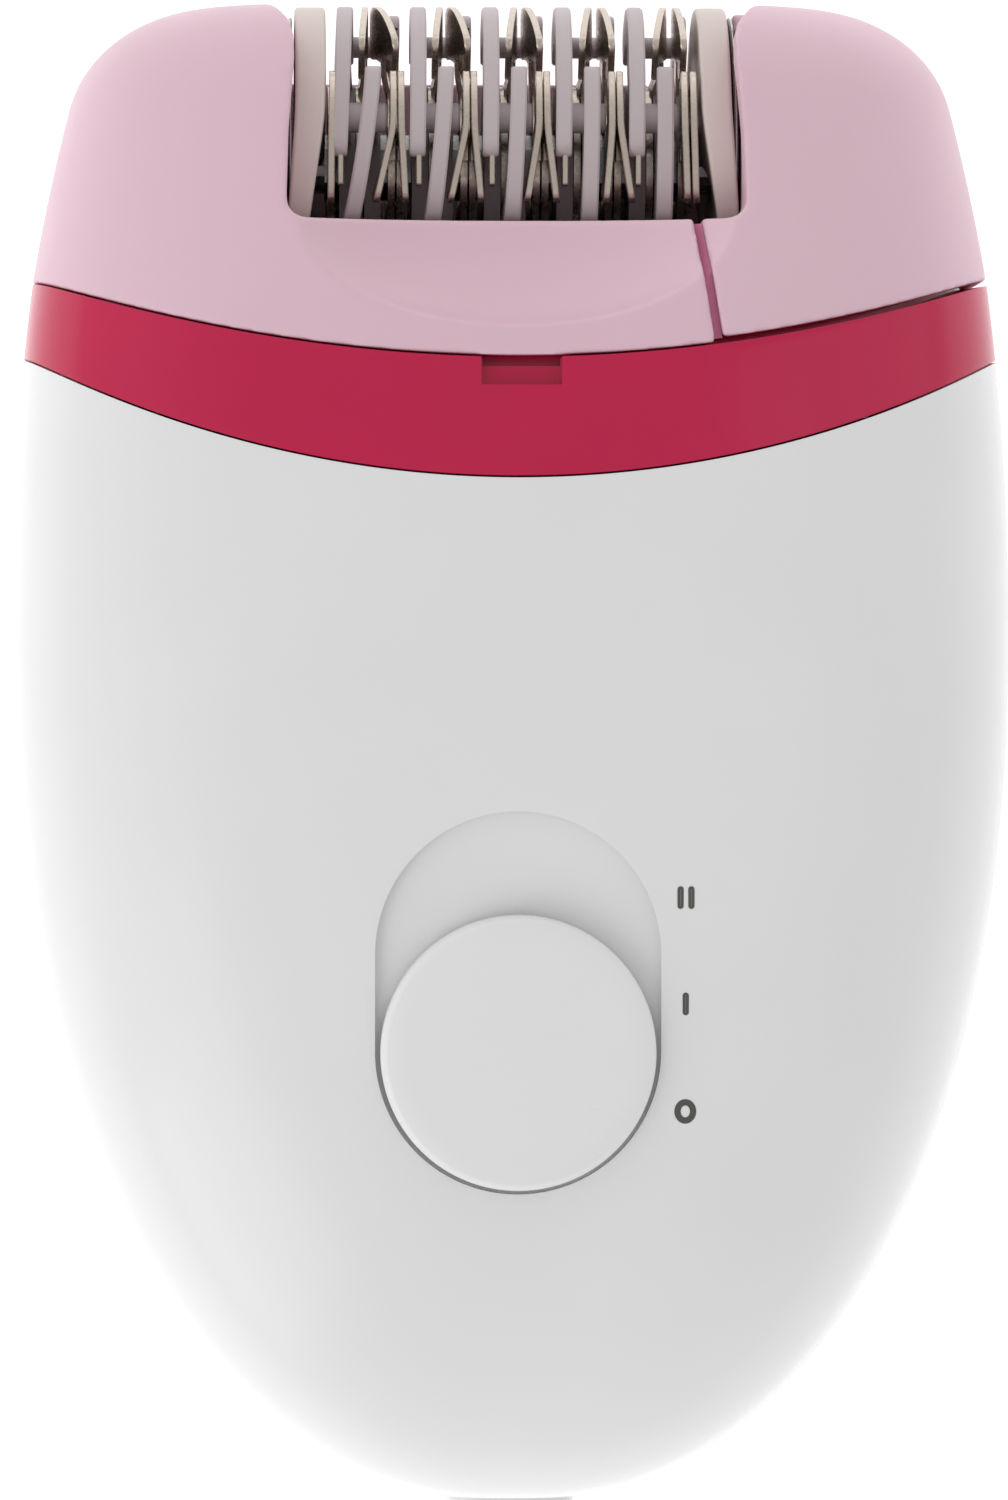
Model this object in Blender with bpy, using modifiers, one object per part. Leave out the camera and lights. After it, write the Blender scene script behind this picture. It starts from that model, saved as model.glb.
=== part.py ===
"""A hand-held corded epilator, built as an assembly of separate named parts.

Axes: +X is the user's right, +Y runs from the socket end to the head, +Z is the front with the switch.
The appliance lies on the flat of its back at z = 0. Lengths below are millimetres; MM turns them to metres.
"""

import math

import bmesh
import bpy
from mathutils import Matrix, Vector

MM = 0.001

# ---------------------------------------------------------------- driving dimensions
HALF_WIDTH = 35.0        # the widest place of the handle
WIDEST_Y = 8.8
HANDLE_DROP = 61.0       # widest place to the rounded end
END_Y = -51.8            # flat end that carries the socket
WIDTH_POWER = 2.2        # roundness of the outline seen from the front
DEPTH_POWER = 3.2        # roundness of the profile seen from the side
PARTING_Z = 20.0         # plane between the front and the rear shell
FRONT_DEPTH = 20.4
REAR_DEPTH = 22.0        # nominal; the back is cut flat at z = 0
SECTION_POWER = 3.0
WALL = 1.8
SEAM_GAP = 0.15

HEAD_TOP_Y = 52.2
HEAD_CORNER_Y = 45.0     # where the shoulders start to turn in
HEAD_CORNER_WIDTH = 8.5
HEAD_CORNER_DEPTH = 5.5
HEAD_WALL = 1.6

# curved seams, arcs seen from the front: height at the centre line and radius
HANDLE_SEAM_Y, HANDLE_SEAM_RADIUS = 19.05, 71.5
HEAD_SEAM_Y, HEAD_SEAM_RADIUS = 27.15, 101.0
SEAM_STEPS = 14

# epilating barrel
AXLE_Y, AXLE_Z = 41.3, 20.0
BARREL_RADIUS = 11.3
MOUTH_HALF = 15.75       # half the width of the opening in the head
MOUTH_FRONT_Y = 36.8
MOUTH_REAR_Y = 48.0
STATIONS = 5
STATION_PITCH = 5.06
FIRST_STATION_X = -11.44
BLADE = 0.46             # spring-steel thickness

# gear train, all axes along X; one module for every wheel
MODULE = 0.5
MOTOR_TEETH, IDLER_LARGE_TEETH, IDLER_SMALL_TEETH, OUTPUT_TEETH, ROTOR_TEETH = 14, 34, 14, 26, 32
CENTRE_EXTRA = 0.06      # added to each centre distance for backlash
GEAR_WIDTH = 3.0
INNER_PLANE_X = 17.8     # output wheel, small idler wheel and barrel wheel
OUTER_PLANE_X = 21.4     # large idler wheel and motor pinion


def centre_distance(a, b):
    return MODULE * (a + b) / 2 + CENTRE_EXTRA


OUTPUT_Y = AXLE_Y - centre_distance(ROTOR_TEETH, OUTPUT_TEETH)
IDLER_Y = OUTPUT_Y - centre_distance(OUTPUT_TEETH, IDLER_SMALL_TEETH)
MOTOR_Y = IDLER_Y - centre_distance(IDLER_LARGE_TEETH, MOTOR_TEETH)

# slide switch on the front
KNOB_RADIUS = 9.4
KNOB_GAP = 0.35
KNOB_TRAVEL = 6.7
KNOB_OFF_Y = -20.2       # centre of the knob in position O
RECESS_TILT = math.radians(3.4)   # the front face falls away towards the socket
RECESS_Z = 38.75         # recess floor at the knob's off position

SECTION_STEPS = 28


# ---------------------------------------------------------------- materials
def material(name, colour, roughness, metallic=0.0):
    made = bpy.data.materials.new(name)
    made.use_nodes = True
    shader = made.node_tree.nodes["Principled BSDF"]
    shader.inputs["Base Color"].default_value = (*colour, 1.0)
    shader.inputs["Roughness"].default_value = roughness
    shader.inputs["Metallic"].default_value = metallic
    return made


MATERIALS = {}


def make_materials():
    MATERIALS.update(
        white=material("white_gloss_plastic", (0.80, 0.80, 0.80), 0.25),
        pink=material("pink_satin_plastic", (0.72, 0.50, 0.56), 0.45),
        magenta=material("magenta_gloss_plastic", (0.52, 0.02, 0.10), 0.22),
        lilac=material("lilac_plastic", (0.55, 0.49, 0.52), 0.5),
        steel=material("spring_steel", (0.55, 0.52, 0.47), 0.3, 1.0),
        zinc=material("zinc_plated_steel", (0.62, 0.63, 0.64), 0.35, 1.0),
        brass=material("brass", (0.75, 0.58, 0.28), 0.3, 1.0),
        nylon=material("natural_nylon", (0.83, 0.81, 0.74), 0.5),
        black=material("black_plastic", (0.03, 0.03, 0.03), 0.45),
        board=material("circuit_board", (0.05, 0.22, 0.10), 0.5),
        red=material("red_insulation", (0.55, 0.03, 0.03), 0.5),
        copper=material("armature_copper", (0.62, 0.30, 0.16), 0.4, 1.0),
    )


# ---------------------------------------------------------------- scene helpers
def clear_scene():
    for obj in list(bpy.data.objects):
        bpy.data.objects.remove(obj, do_unlink=True)


def new_collection(name, hidden=False):
    made = bpy.data.collections.new(name)
    bpy.context.scene.collection.children.link(made)
    made.hide_render = hidden
    return made


COLLECTIONS = {}


def place(obj, colour=None):
    """Links obj as a part with that material, or as a cutter when no material is named."""
    for owner in list(obj.users_collection):
        owner.objects.unlink(obj)
    if colour is None:
        COLLECTIONS["cutters"].objects.link(obj)
        obj.hide_render = True
        obj.display_type = "WIRE"
    else:
        COLLECTIONS["parts"].objects.link(obj)
        obj.data.materials.append(MATERIALS[colour])
    return obj


def object_from(name, bm, colour=None):
    bmesh.ops.recalc_face_normals(bm, faces=bm.faces)
    mesh = bpy.data.meshes.new(name)
    bm.to_mesh(mesh)
    bm.free()
    return place(bpy.data.objects.new(name, mesh), colour)


def box(name, low, high, colour=None):
    """A block between two corners."""
    bm = bmesh.new()
    bmesh.ops.create_cube(bm, size=MM)
    low, high = Vector(low), Vector(high)
    bmesh.ops.scale(bm, verts=bm.verts, vec=high - low)
    bmesh.ops.translate(bm, verts=bm.verts, vec=(high + low) / 2 * MM)
    return object_from(name, bm, colour)


ALONG = {
    "X": Matrix.Rotation(math.pi / 2, 4, "Y"),
    "Y": Matrix.Rotation(-math.pi / 2, 4, "X"),
    "Z": Matrix.Identity(4),
}


def cylinder(name, axis, start, end, centre, radius, colour=None, sides=16, end_radius=None):
    """A rod or cone along X, Y or Z from start to end; centre holds the other two coordinates in order."""
    bm = bmesh.new()
    bmesh.ops.create_cone(
        bm,
        cap_ends=True,
        segments=sides,
        radius1=radius * MM,
        radius2=(radius if end_radius is None else end_radius) * MM,
        depth=(end - start) * MM,
    )
    bmesh.ops.transform(bm, matrix=ALONG[axis], verts=bm.verts)
    at = list(centre)
    at.insert("XYZ".index(axis), (start + end) / 2)
    bmesh.ops.translate(bm, verts=bm.verts, vec=Vector(at) * MM)
    return object_from(name, bm, colour)


def boolean(obj, cutter, operation="DIFFERENCE"):
    step = obj.modifiers.new(cutter.name, "BOOLEAN")
    step.operation = operation
    step.object = cutter
    return obj


def cut(obj, *cutters):
    for cutter in cutters:
        boolean(obj, cutter, "DIFFERENCE")
    return obj


def keep(obj, *cutters):
    for cutter in cutters:
        boolean(obj, cutter, "INTERSECT")
    return obj


def join(obj, *others):
    for other in others:
        boolean(obj, other, "UNION")
    return obj


def bevel(obj, width, segments=1, angle=40):
    step = obj.modifiers.new("Bevel", "BEVEL")
    step.width = width * MM
    step.segments = segments
    step.limit_method = "ANGLE"
    step.angle_limit = math.radians(angle)
    return obj


def loft(name, rings, colour=None):
    """A closed body through rings of equal point count, with a flat cap on each end."""
    bm = bmesh.new()
    rows = [[bm.verts.new(Vector(p) * MM) for p in ring] for ring in rings]
    count = len(rows[0])
    for lower, upper in zip(rows, rows[1:]):
        for i in range(count):
            j = (i + 1) % count
            bm.faces.new((lower[i], lower[j], upper[j], upper[i]))
    bm.faces.new(rows[0])
    bm.faces.new(rows[-1])
    return object_from(name, bm, colour)


def outline_prism(name, points, low, high, plane, colour=None):
    """A flat outline extruded between two heights: plane XY extrudes along Z, YZ along X."""
    curve = bpy.data.curves.new(name, "CURVE")
    curve.dimensions = "2D"
    curve.fill_mode = "BOTH"
    curve.extrude = (high - low) / 2 * MM
    spline = curve.splines.new("POLY")
    spline.points.add(len(points) - 1)
    for point, (u, v) in zip(spline.points, points):
        point.co = (u * MM, v * MM, 0, 1)
    spline.use_cyclic_u = True
    maker = bpy.data.objects.new(name + "_outline", curve)
    COLLECTIONS["cutters"].objects.link(maker)
    middle = (low + high) / 2 * MM
    if plane == "YZ":
        maker.matrix_world = Matrix(((0, 0, 1, middle), (1, 0, 0, 0), (0, 1, 0, 0), (0, 0, 0, 1)))
    else:
        maker.location.z = middle
    return as_mesh(maker, name, colour)


def as_mesh(maker, name, colour=None):
    """Turns a curve object into a closed mesh object in the same place, and removes the curve."""
    bpy.context.view_layer.update()
    graph = bpy.context.evaluated_depsgraph_get()
    mesh = bpy.data.meshes.new_from_object(maker.evaluated_get(graph))
    mesh.transform(maker.matrix_world)
    bpy.data.objects.remove(maker, do_unlink=True)
    bm = bmesh.new()
    bm.from_mesh(mesh)
    bmesh.ops.remove_doubles(bm, verts=bm.verts, dist=0.001 * MM)
    bpy.data.meshes.remove(mesh)
    return object_from(name, bm, colour)


def wire(name, points, radius, colour, rounds=2):
    """A round wire along points that were chosen by hand, on a straight-segment spline."""
    curve = bpy.data.curves.new(name, "CURVE")
    curve.dimensions = "3D"
    curve.bevel_depth = radius * MM
    curve.bevel_resolution = rounds
    curve.use_fill_caps = True
    spline = curve.splines.new("POLY")
    spline.points.add(len(points) - 1)
    for point, at in zip(spline.points, points):
        point.co = (*(Vector(at) * MM), 1)
    maker = bpy.data.objects.new(name + "_path", curve)
    COLLECTIONS["cutters"].objects.link(maker)
    return as_mesh(maker, name, colour)


def smooth_path(knots, steps):
    """Points on a Catmull-Rom curve through the knots."""
    ends = [knots[0], *knots, knots[-1]]
    found = []
    for a, b, c, d in zip(ends, ends[1:], ends[2:], ends[3:]):
        a, b, c, d = (Vector(p) for p in (a, b, c, d))
        for i in range(steps):
            t = i / steps
            found.append(
                0.5 * ((2 * b) + (c - a) * t + (2 * a - 5 * b + 4 * c - d) * t * t
                       + (3 * b - a - 3 * c + d) * t ** 3)
            )
    return [*found, Vector(knots[-1])]


# ---------------------------------------------------------------- outer form
def superellipse_fall(distance, reach, power):
    """1 at the widest place, 0 at the end of the reach."""
    return max(0.0, 1 - min(1.0, distance / reach) ** power) ** (1 / power)


def shoulder_inset(y, size):
    """How far the head's sides have turned in at this height."""
    share = min(1.0, max(0.0, (y - HEAD_CORNER_Y) / (HEAD_TOP_Y - HEAD_CORNER_Y)))
    return size * (1 - (1 - share ** 2.2) ** (1 / 2.2))


def half_width(y, inset=0.0):
    if y <= WIDEST_Y:
        return (HALF_WIDTH - inset) * superellipse_fall(WIDEST_Y - y, HANDLE_DROP - inset, WIDTH_POWER)
    rise = y - WIDEST_Y
    if y <= 33.1:
        return HALF_WIDTH - inset - 0.00265 * rise ** 2
    rise = y - 33.1
    return 33.44 - inset - 0.165 * rise - 0.0038 * rise ** 2 - shoulder_inset(y, HEAD_CORNER_WIDTH)


def front_depth(y, inset=0.0):
    if y <= WIDEST_Y:
        return (FRONT_DEPTH - inset) * superellipse_fall(WIDEST_Y - y, HANDLE_DROP - inset, DEPTH_POWER)
    rise = y - WIDEST_Y
    return FRONT_DEPTH - inset - 0.0032 * rise ** 2 - shoulder_inset(y, HEAD_CORNER_DEPTH)


def rear_depth(y, inset=0.0):
    if y <= WIDEST_Y:
        return (REAR_DEPTH - inset) * superellipse_fall(WIDEST_Y - y, HANDLE_DROP - inset, DEPTH_POWER)
    rise = y - WIDEST_Y
    return REAR_DEPTH - inset - 0.20 * rise + 0.0009 * rise ** 2 - shoulder_inset(y, HEAD_CORNER_DEPTH)


def section(y, inset=0.0):
    """One closed ring of the outer form at height y, drawn in by inset."""
    width, front, rear = half_width(y, inset), front_depth(y, inset), rear_depth(y, inset)
    ring = []
    for i in range(SECTION_STEPS):
        turn = 2 * math.pi * i / SECTION_STEPS
        c, s = math.cos(turn), math.sin(turn)
        x = width * math.copysign(abs(c) ** (2 / SECTION_POWER), c)
        z = (front if s > 0 else rear) * math.copysign(abs(s) ** (2 / SECTION_POWER), s)
        ring.append((x, y, PARTING_Z + z))
    return ring


HANDLE_TURNS = (76, 67, 56, 43, 29, 13)   # degrees round the end, small ones near the widest place


def handle_stations(inset, top):
    reach = HANDLE_DROP - inset
    rounded = [WIDEST_Y - reach * math.sin(math.radians(t)) for t in HANDLE_TURNS]
    return [END_Y + inset, *rounded, 12.0, 23.0, top]


def handle_body(name, inset=0.0, top=34.0, low=None):
    stations = [y for y in handle_stations(inset, top) if y <= top and (low is None or y > low + 1)]
    if low is not None:
        stations.insert(0, low)
    return flat_back(loft(name, [section(y, inset) for y in stations]), inset)


def flat_back(obj, inset):
    """The surface that the appliance rests on, and the same surface of anything drawn in from it."""
    return cut(obj, box(obj.name + "_below", (-45, -70, -30), (45, 70, inset)))


def head_body(name, inset=0.0, colour=None, low=25.0):
    top = HEAD_TOP_Y - inset
    turned = (48.5, 50.3, 51.4)
    stations = [low, 33.1, 40.0, HEAD_CORNER_Y, *(y - inset for y in turned), top]
    return flat_back(loft(name, [section(y, inset) for y in stations], colour), inset)


def seam_height(x, centre_y, radius):
    return centre_y + radius - math.sqrt(radius ** 2 - x ** 2)


def seam_slab(name, low, high):
    """Everything between two seams. Each is (height at the centre, radius), or None for no limit."""
    reach = 40.0
    xs = [reach * (2 * i / SEAM_STEPS - 1) for i in range(SEAM_STEPS + 1)]
    if low is None:
        lower = [(-reach, -60.0), (reach, -60.0)]
    else:
        lower = [(x, seam_height(x, *low)) for x in xs]
    if high is None:
        upper = [(-reach, 60.0), (reach, 60.0)]
    else:
        upper = [(x, seam_height(x, *high)) for x in xs]
    return outline_prism(name, [*lower, *reversed(upper)], -5, 50, "XY")


# ---------------------------------------------------------------- handle shells
def knob_frame():
    """Places a part drawn flat about the knob's centre onto the sloping recess."""
    lift = Matrix.Translation(Vector((0, KNOB_OFF_Y, RECESS_Z)) * MM)
    return lift @ Matrix.Rotation(RECESS_TILT, 4, "X")


def oblong(radius, travel, steps=20):
    """A slot outline: half circles round (0, 0) and (0, travel)."""
    points = []
    for centre, start in ((travel, 0), (0.0, math.pi)):
        for i in range(steps // 2 + 1):
            turn = start + math.pi * i / (steps // 2)
            points.append((radius * math.cos(turn), centre + radius * math.sin(turn)))
    return points


def in_knob_frame(obj):
    obj.data.transform(knob_frame())
    return obj


SCREW_X, SCREW_Y = 13.0, -31.5
POST_RADIUS, PILOT_RADIUS = 3.0, 1.25
SOCKET_HALF_X, SOCKET_HALF_Z, SOCKET_WALL = 4.5, 3.6, 1.0
SOCKET_MOUTH_Y = END_Y - 0.8
SOCKET_DEPTH = 13.0


def socket_outline(grow=0.0):
    half_x, half_z = SOCKET_HALF_X + grow, SOCKET_HALF_Z + grow
    return [
        (half_x * math.copysign(abs(math.cos(t)) ** 0.6, math.cos(t)),
         half_z * math.copysign(abs(math.sin(t)) ** 0.6, math.sin(t)))
        for t in (2 * math.pi * i / 20 for i in range(20))
    ]


def socket_prism(name, grow, start, end, colour=None):
    """The socket's rounded outline extruded along Y."""
    rings = [[(x, y, PARTING_Z + z) for x, z in socket_outline(grow)] for y in (start, end)]
    return loft(name, rings, colour)


def shell_blank(name, colour):
    body = place_as_part(handle_body(name), colour)
    keep(body, seam_slab(name + "_below_seam", None, (HANDLE_SEAM_Y - SEAM_GAP, HANDLE_SEAM_RADIUS)))
    cut(body, handle_body(name + "_hollow", inset=WALL, top=36.0))
    return body


def place_as_part(obj, colour):
    obj.hide_render = False
    obj.display_type = "TEXTURED"
    return place(obj, colour)


def front_shell():
    shell = shell_blank("front_shell", "white")
    cut(shell, box("front_shell_rear_half", (-40, -60, -5), (40, 40, PARTING_Z + SEAM_GAP / 2)))
    recess_radius = KNOB_RADIUS + KNOB_GAP
    pad_outline = oblong(recess_radius + 1.4, KNOB_TRAVEL)
    pad = in_knob_frame(outline_prism("recess_pad", pad_outline, -1.5, 0.35, "XY"))
    well = in_knob_frame(outline_prism("recess_well", oblong(recess_radius, KNOB_TRAVEL), 0.0, 6.0, "XY"))
    slot = in_knob_frame(outline_prism("stem_slot", oblong(2.45, KNOB_TRAVEL), -4.0, 2.0, "XY"))
    join(shell, pad)
    cut(shell, well, slot)
    for side in (-1, 1):
        centre = (side * SCREW_X, SCREW_Y)
        join(shell, cylinder(f"front_post_{side}", "Z", 21.0, 36.3, centre, POST_RADIUS, sides=12))
        cut(shell, cylinder(f"front_pilot_{side}", "Z", 20.0, 32.0, centre, PILOT_RADIUS, sides=12))
    cut(shell, socket_prism("front_socket_hole", 0.15, -60.0, -40.0))
    return shell


def rear_shell():
    shell = shell_blank("rear_shell", "white")
    cut(shell, box("rear_shell_front_half", (-40, -60, PARTING_Z - SEAM_GAP / 2), (40, 40, 45)))
    handle_body("rear_post_limits", inset=0.4)
    for x in (-12.0, 11.0):
        low, high = (x - 1.0, MOTOR_Y - 9.0, 1.0), (x + 1.0, MOTOR_Y + 9.0, 12.5)
        join(shell, box(f"motor_cradle_{x:.0f}", low, high))
    motor_room = cylinder("motor_room", "X", -20.0, 20.0, (MOTOR_Y, AXLE_Z), MOTOR_RADIUS + 0.15, sides=28)
    cut(shell, motor_room)
    for side in (-1, 1):
        centre = (side * SCREW_X, SCREW_Y)
        post = cylinder(f"rear_post_{side}", "Z", -0.5, 20.4, centre, 3.9, sides=14)
        join(shell, keep(post, bpy.data.objects["rear_post_limits"]))
        cut(
            shell,
            cylinder(f"rear_counterbore_{side}", "Z", -2.0, 12.0, centre, 2.9, sides=14),
            cylinder(f"rear_clearance_{side}", "Z", 11.0, 22.0, centre, 1.5, sides=12),
        )
    cut(shell, socket_prism("rear_socket_hole", 0.15, -60.0, -40.0))
    return shell


def case_screw(name, side):
    """Pan-head screw up from the back into the front shell's post."""
    centre = (side * SCREW_X, SCREW_Y)
    screw = cylinder(name, "Z", 9.8, 11.7, centre, 2.4, "zinc", sides=14)
    join(screw, cylinder(name + "_shank", "Z", 11.5, 30.5, centre, 1.1, sides=10))
    x, y = centre
    cut(
        screw,
        box(name + "_drive_a", (x - 1.4, y - 0.3, 9.0), (x + 1.4, y + 0.3, 10.6)),
        box(name + "_drive_b", (x - 0.3, y - 1.4, 9.0), (x + 0.3, y + 1.4, 10.6)),
    )
    return screw


# ---------------------------------------------------------------- collar between handle and head
DECK_LOW, DECK_TOP = 24.2, 25.6
LIP_INSET, LIP_WALL, LIP_RISE = 1.9, 1.4, 1.5
GEAR_BAY = ((14.7, 28.4), (11.0, 29.0))   # x range and z range of the opening that the gears rise through
BUTTON_Y = 23.4
LATCH_Y = 22.3           # lower face of the loop's bar
LATCH_TOE_Z = 7.3        # the toe's inner face; the bar clears it when the button is pressed by 1.2


def collar_ring():
    ring = place_as_part(handle_body("collar_ring", low=15.0, top=36.0), "magenta")
    keep(ring, seam_slab("collar_band", (HANDLE_SEAM_Y, HANDLE_SEAM_RADIUS), (HEAD_SEAM_Y, HEAD_SEAM_RADIUS)))
    core = handle_body("collar_core", inset=LIP_INSET, low=DECK_LOW, top=36.5)
    keep(core, seam_slab("collar_core_top", None, (HEAD_SEAM_Y + LIP_RISE, HEAD_SEAM_RADIUS)))
    join(ring, core)
    join(ring, box("collar_spring_seat", (-6.6, 20.8, 9.8), (6.6, 26.0, 11.2)))
    cut(
        ring,
        handle_body("collar_pocket", inset=LIP_INSET + LIP_WALL, low=DECK_TOP, top=37.0),
        handle_body("collar_underside", inset=LIP_INSET + 0.3, low=10.0, top=DECK_LOW),
        box("collar_gear_bay", (GEAR_BAY[0][0], 20, GEAR_BAY[1][0]), (GEAR_BAY[0][1], 30, GEAR_BAY[1][1])),
        box("collar_front_notch", (-2.5, HEAD_SEAM_Y - 1.9, 38.4), (3.0, HEAD_SEAM_Y + 2, 42)),
        box("collar_button_window", (-6.6, BUTTON_Y - 2.3, -3), (6.6, BUTTON_Y + 2.3, 9.5)),
        box("collar_latch_gap", (-2.8, 24.0, 4.8), (2.8, 27.5, 9.5)),
    )
    return ring


def release_button():
    """Push button in the back of the collar. The bar of its loop stands over the toe of the head's catch."""
    half_x, half_y = 6.3, 2.0
    low, high = 1.3, 3.7
    corners = (-half_x, BUTTON_Y - half_y, low), (half_x, BUTTON_Y + half_y, high)
    face = box("release_button", *corners, "magenta")
    bevel(face, 0.5, 2)
    loop = box("release_loop", (-3.6, LATCH_Y, high - 0.3), (3.6, LATCH_Y + 1.6, 7.6))
    cut(loop, box("release_loop_eye", (-2.7, LATCH_Y - 1, 2.0), (2.7, LATCH_Y + 3, LATCH_TOE_Z - 0.9)))
    return join(face, loop)


SPRING_TURNS, SPRING_RADIUS, SPRING_WIRE = 4, 0.9, 0.2


def coil_spring(name, centre_x, centre_y, low, high):
    steps = SPRING_TURNS * 8
    points = [
        (centre_x + SPRING_RADIUS * math.cos(2 * math.pi * i / 8),
         centre_y + SPRING_RADIUS * math.sin(2 * math.pi * i / 8),
         low + (high - low) * i / steps)
        for i in range(steps + 1)
    ]
    return wire(name, points, SPRING_WIRE, "steel", rounds=0)


# ---------------------------------------------------------------- motor and gears
def involute_angle(radius, base):
    roll = math.sqrt(max(0.0, (radius / base) ** 2 - 1))
    return roll - math.atan(roll)


BACKLASH = 0.07          # taken off each tooth, along the pitch circle
ADDENDUM, DEDENDUM = 0.40, 0.52


def gear_outline(teeth, first_tooth):
    """Points of a spur gear in the YZ plane, with a tooth centred on the angle first_tooth from +Y."""
    pitch = MODULE * teeth / 2
    base = pitch * math.cos(math.radians(20))
    half_tooth = math.pi / (2 * teeth) - BACKLASH / (2 * pitch)
    tip, root = pitch + ADDENDUM, pitch - DEDENDUM

    def half_at(radius):
        return half_tooth + involute_angle(pitch, base) - involute_angle(max(radius, base), base)

    points = []
    for i in range(teeth):
        middle = first_tooth + 2 * math.pi * i / teeth
        corners = (root, -half_at(root)), (tip, -half_at(tip)), (tip, half_at(tip)), (root, half_at(root))
        for radius, half in corners:
            angle = middle + half
            points.append((radius * math.cos(angle), radius * math.sin(angle)))
    return points


def gear(name, teeth, centre_y, plane_x, first_tooth, bore, colour="nylon"):
    points = [(centre_y + y, AXLE_Z + z) for y, z in gear_outline(teeth, first_tooth)]
    wheel = outline_prism(name, points, plane_x, plane_x + GEAR_WIDTH, "YZ", colour)
    cut(wheel, cylinder(name + "_bore", "X", plane_x - 1, plane_x + 9, (centre_y, AXLE_Z), bore, sides=12))
    return wheel


def gap(teeth):
    """Turns a tooth gap to where a tooth would be."""
    return math.pi / teeth


def gears():
    up, down = 0.0, math.pi
    gear("barrel_gear", ROTOR_TEETH, AXLE_Y, INNER_PLANE_X, down, 1.95)
    gear("output_gear", OUTPUT_TEETH, OUTPUT_Y, INNER_PLANE_X, up + gap(OUTPUT_TEETH), 1.25)
    # the output wheel's tooth phase at its lower side decides where the idler's gap has to be
    output_phase = (down - up - gap(OUTPUT_TEETH)) % (2 * gap(OUTPUT_TEETH))
    small_phase = gap(IDLER_SMALL_TEETH) + output_phase * OUTPUT_TEETH / IDLER_SMALL_TEETH
    idler = gear("idler_gear", IDLER_LARGE_TEETH, IDLER_Y, OUTER_PLANE_X, down, 1.25)
    small = outline_prism(
        "idler_small_wheel",
        [(IDLER_Y + y, AXLE_Z + z) for y, z in gear_outline(IDLER_SMALL_TEETH, up + small_phase)],
        INNER_PLANE_X, OUTER_PLANE_X + 0.4, "YZ",
    )
    join(idler, small)
    cut(idler, cylinder("idler_through_bore", "X", INNER_PLANE_X - 1, 26, (IDLER_Y, AXLE_Z), 1.25, sides=12))
    gear("motor_pinion", MOTOR_TEETH, MOTOR_Y, OUTER_PLANE_X, up + gap(MOTOR_TEETH), 1.15, "brass")


MOTOR_RADIUS = 12.0
MOTOR_REAR_X, MOTOR_FRONT_X = -16.5, 14.0


def turned(name, profile, centre_y, centre_z, colour=None, steps=20):
    """A profile of (radius, x) points turned about an X axis with the Screw modifier."""
    bm = bmesh.new()
    points = [bm.verts.new((r * MM, 0, x * MM)) for r, x in profile]
    for a, b in zip(points, [*points[1:], points[0]]):
        bm.edges.new((a, b))
    mesh = bpy.data.meshes.new(name)
    bm.to_mesh(mesh)
    bm.free()
    obj = place(bpy.data.objects.new(name, mesh), colour)
    step = obj.modifiers.new("Screw", "SCREW")
    step.axis = "Z"
    step.steps = steps
    step.render_steps = steps
    step.use_merge_vertices = True
    step.merge_threshold = 0.00001
    obj.rotation_euler = (0, math.pi / 2, 0)
    obj.location = Vector((0, centre_y, centre_z)) * MM
    return obj


def motor():
    front, rear, r = MOTOR_FRONT_X, MOTOR_REAR_X, MOTOR_RADIUS
    profile = [(3.0, front + 1.0), (3.0, front), (r - 1, front), (r, front - 1), (r, rear), (r - 1, rear),
               (r - 1, front - 2), (1.4, front - 2), (1.4, front + 1.0)]
    turned("motor_can", profile, MOTOR_Y, AXLE_Z, "zinc")
    cap = [(r - 1.2, rear + 2.0), (r - 1.2, rear - 0.2), (r, rear - 0.2), (r, rear - 1.6), (1.4, rear - 1.6),
           (1.4, rear + 0.2), (r - 2.2, rear + 0.2), (r - 2.2, rear + 2.0)]
    turned("motor_end_cap", cap, MOTOR_Y, AXLE_Z, "black")
    centre = (MOTOR_Y, AXLE_Z)
    cylinder("motor_shaft", "X", rear - 3.0, 25.2, centre, 1.0, "steel", sides=12)
    armature = cylinder("motor_armature", "X", rear + 4.0, front - 4.0, centre, 8.6, "copper", sides=12)
    cut(armature, cylinder("armature_bore", "X", rear, front, centre, 1.15, sides=12))


PLATE_Z = (12.6, 27.4)


def gear_chassis():
    """U-shaped frame: two side plates that carry the axles, joined by a web under the pinion."""
    inner, outer = (15.2, 16.8), (26.2, 27.6)
    low_y, high_y = MOTOR_Y - 9.0, OUTPUT_Y + 2.4
    frame = box("gear_chassis", (inner[0], low_y, PLATE_Z[0]), (inner[1], high_y, PLATE_Z[1]), "black")
    join(
        frame,
        box("chassis_outer_plate", (outer[0], low_y, PLATE_Z[0]), (outer[1], high_y, PLATE_Z[1])),
        box("chassis_web", (inner[0], low_y - 1.6, PLATE_Z[0]), (outer[1], low_y + 0.2, PLATE_Z[1])),
    )
    cut(frame, cylinder("chassis_motor_hole", "X", 14.5, 17.5, (MOTOR_Y, AXLE_Z), 3.3, sides=16))
    for name, y in (("idler", IDLER_Y), ("output", OUTPUT_Y)):
        cut(frame, cylinder(f"chassis_{name}_hole", "X", 14.5, 28.5, (y, AXLE_Z), 1.2, sides=12))
        cylinder(f"{name}_axle", "X", 15.0, 27.8, (y, AXLE_Z), 1.05, "steel", sides=12)
    return frame


# ---------------------------------------------------------------- switch, board, socket and wiring
BOARD_Z = 25.0


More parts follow.
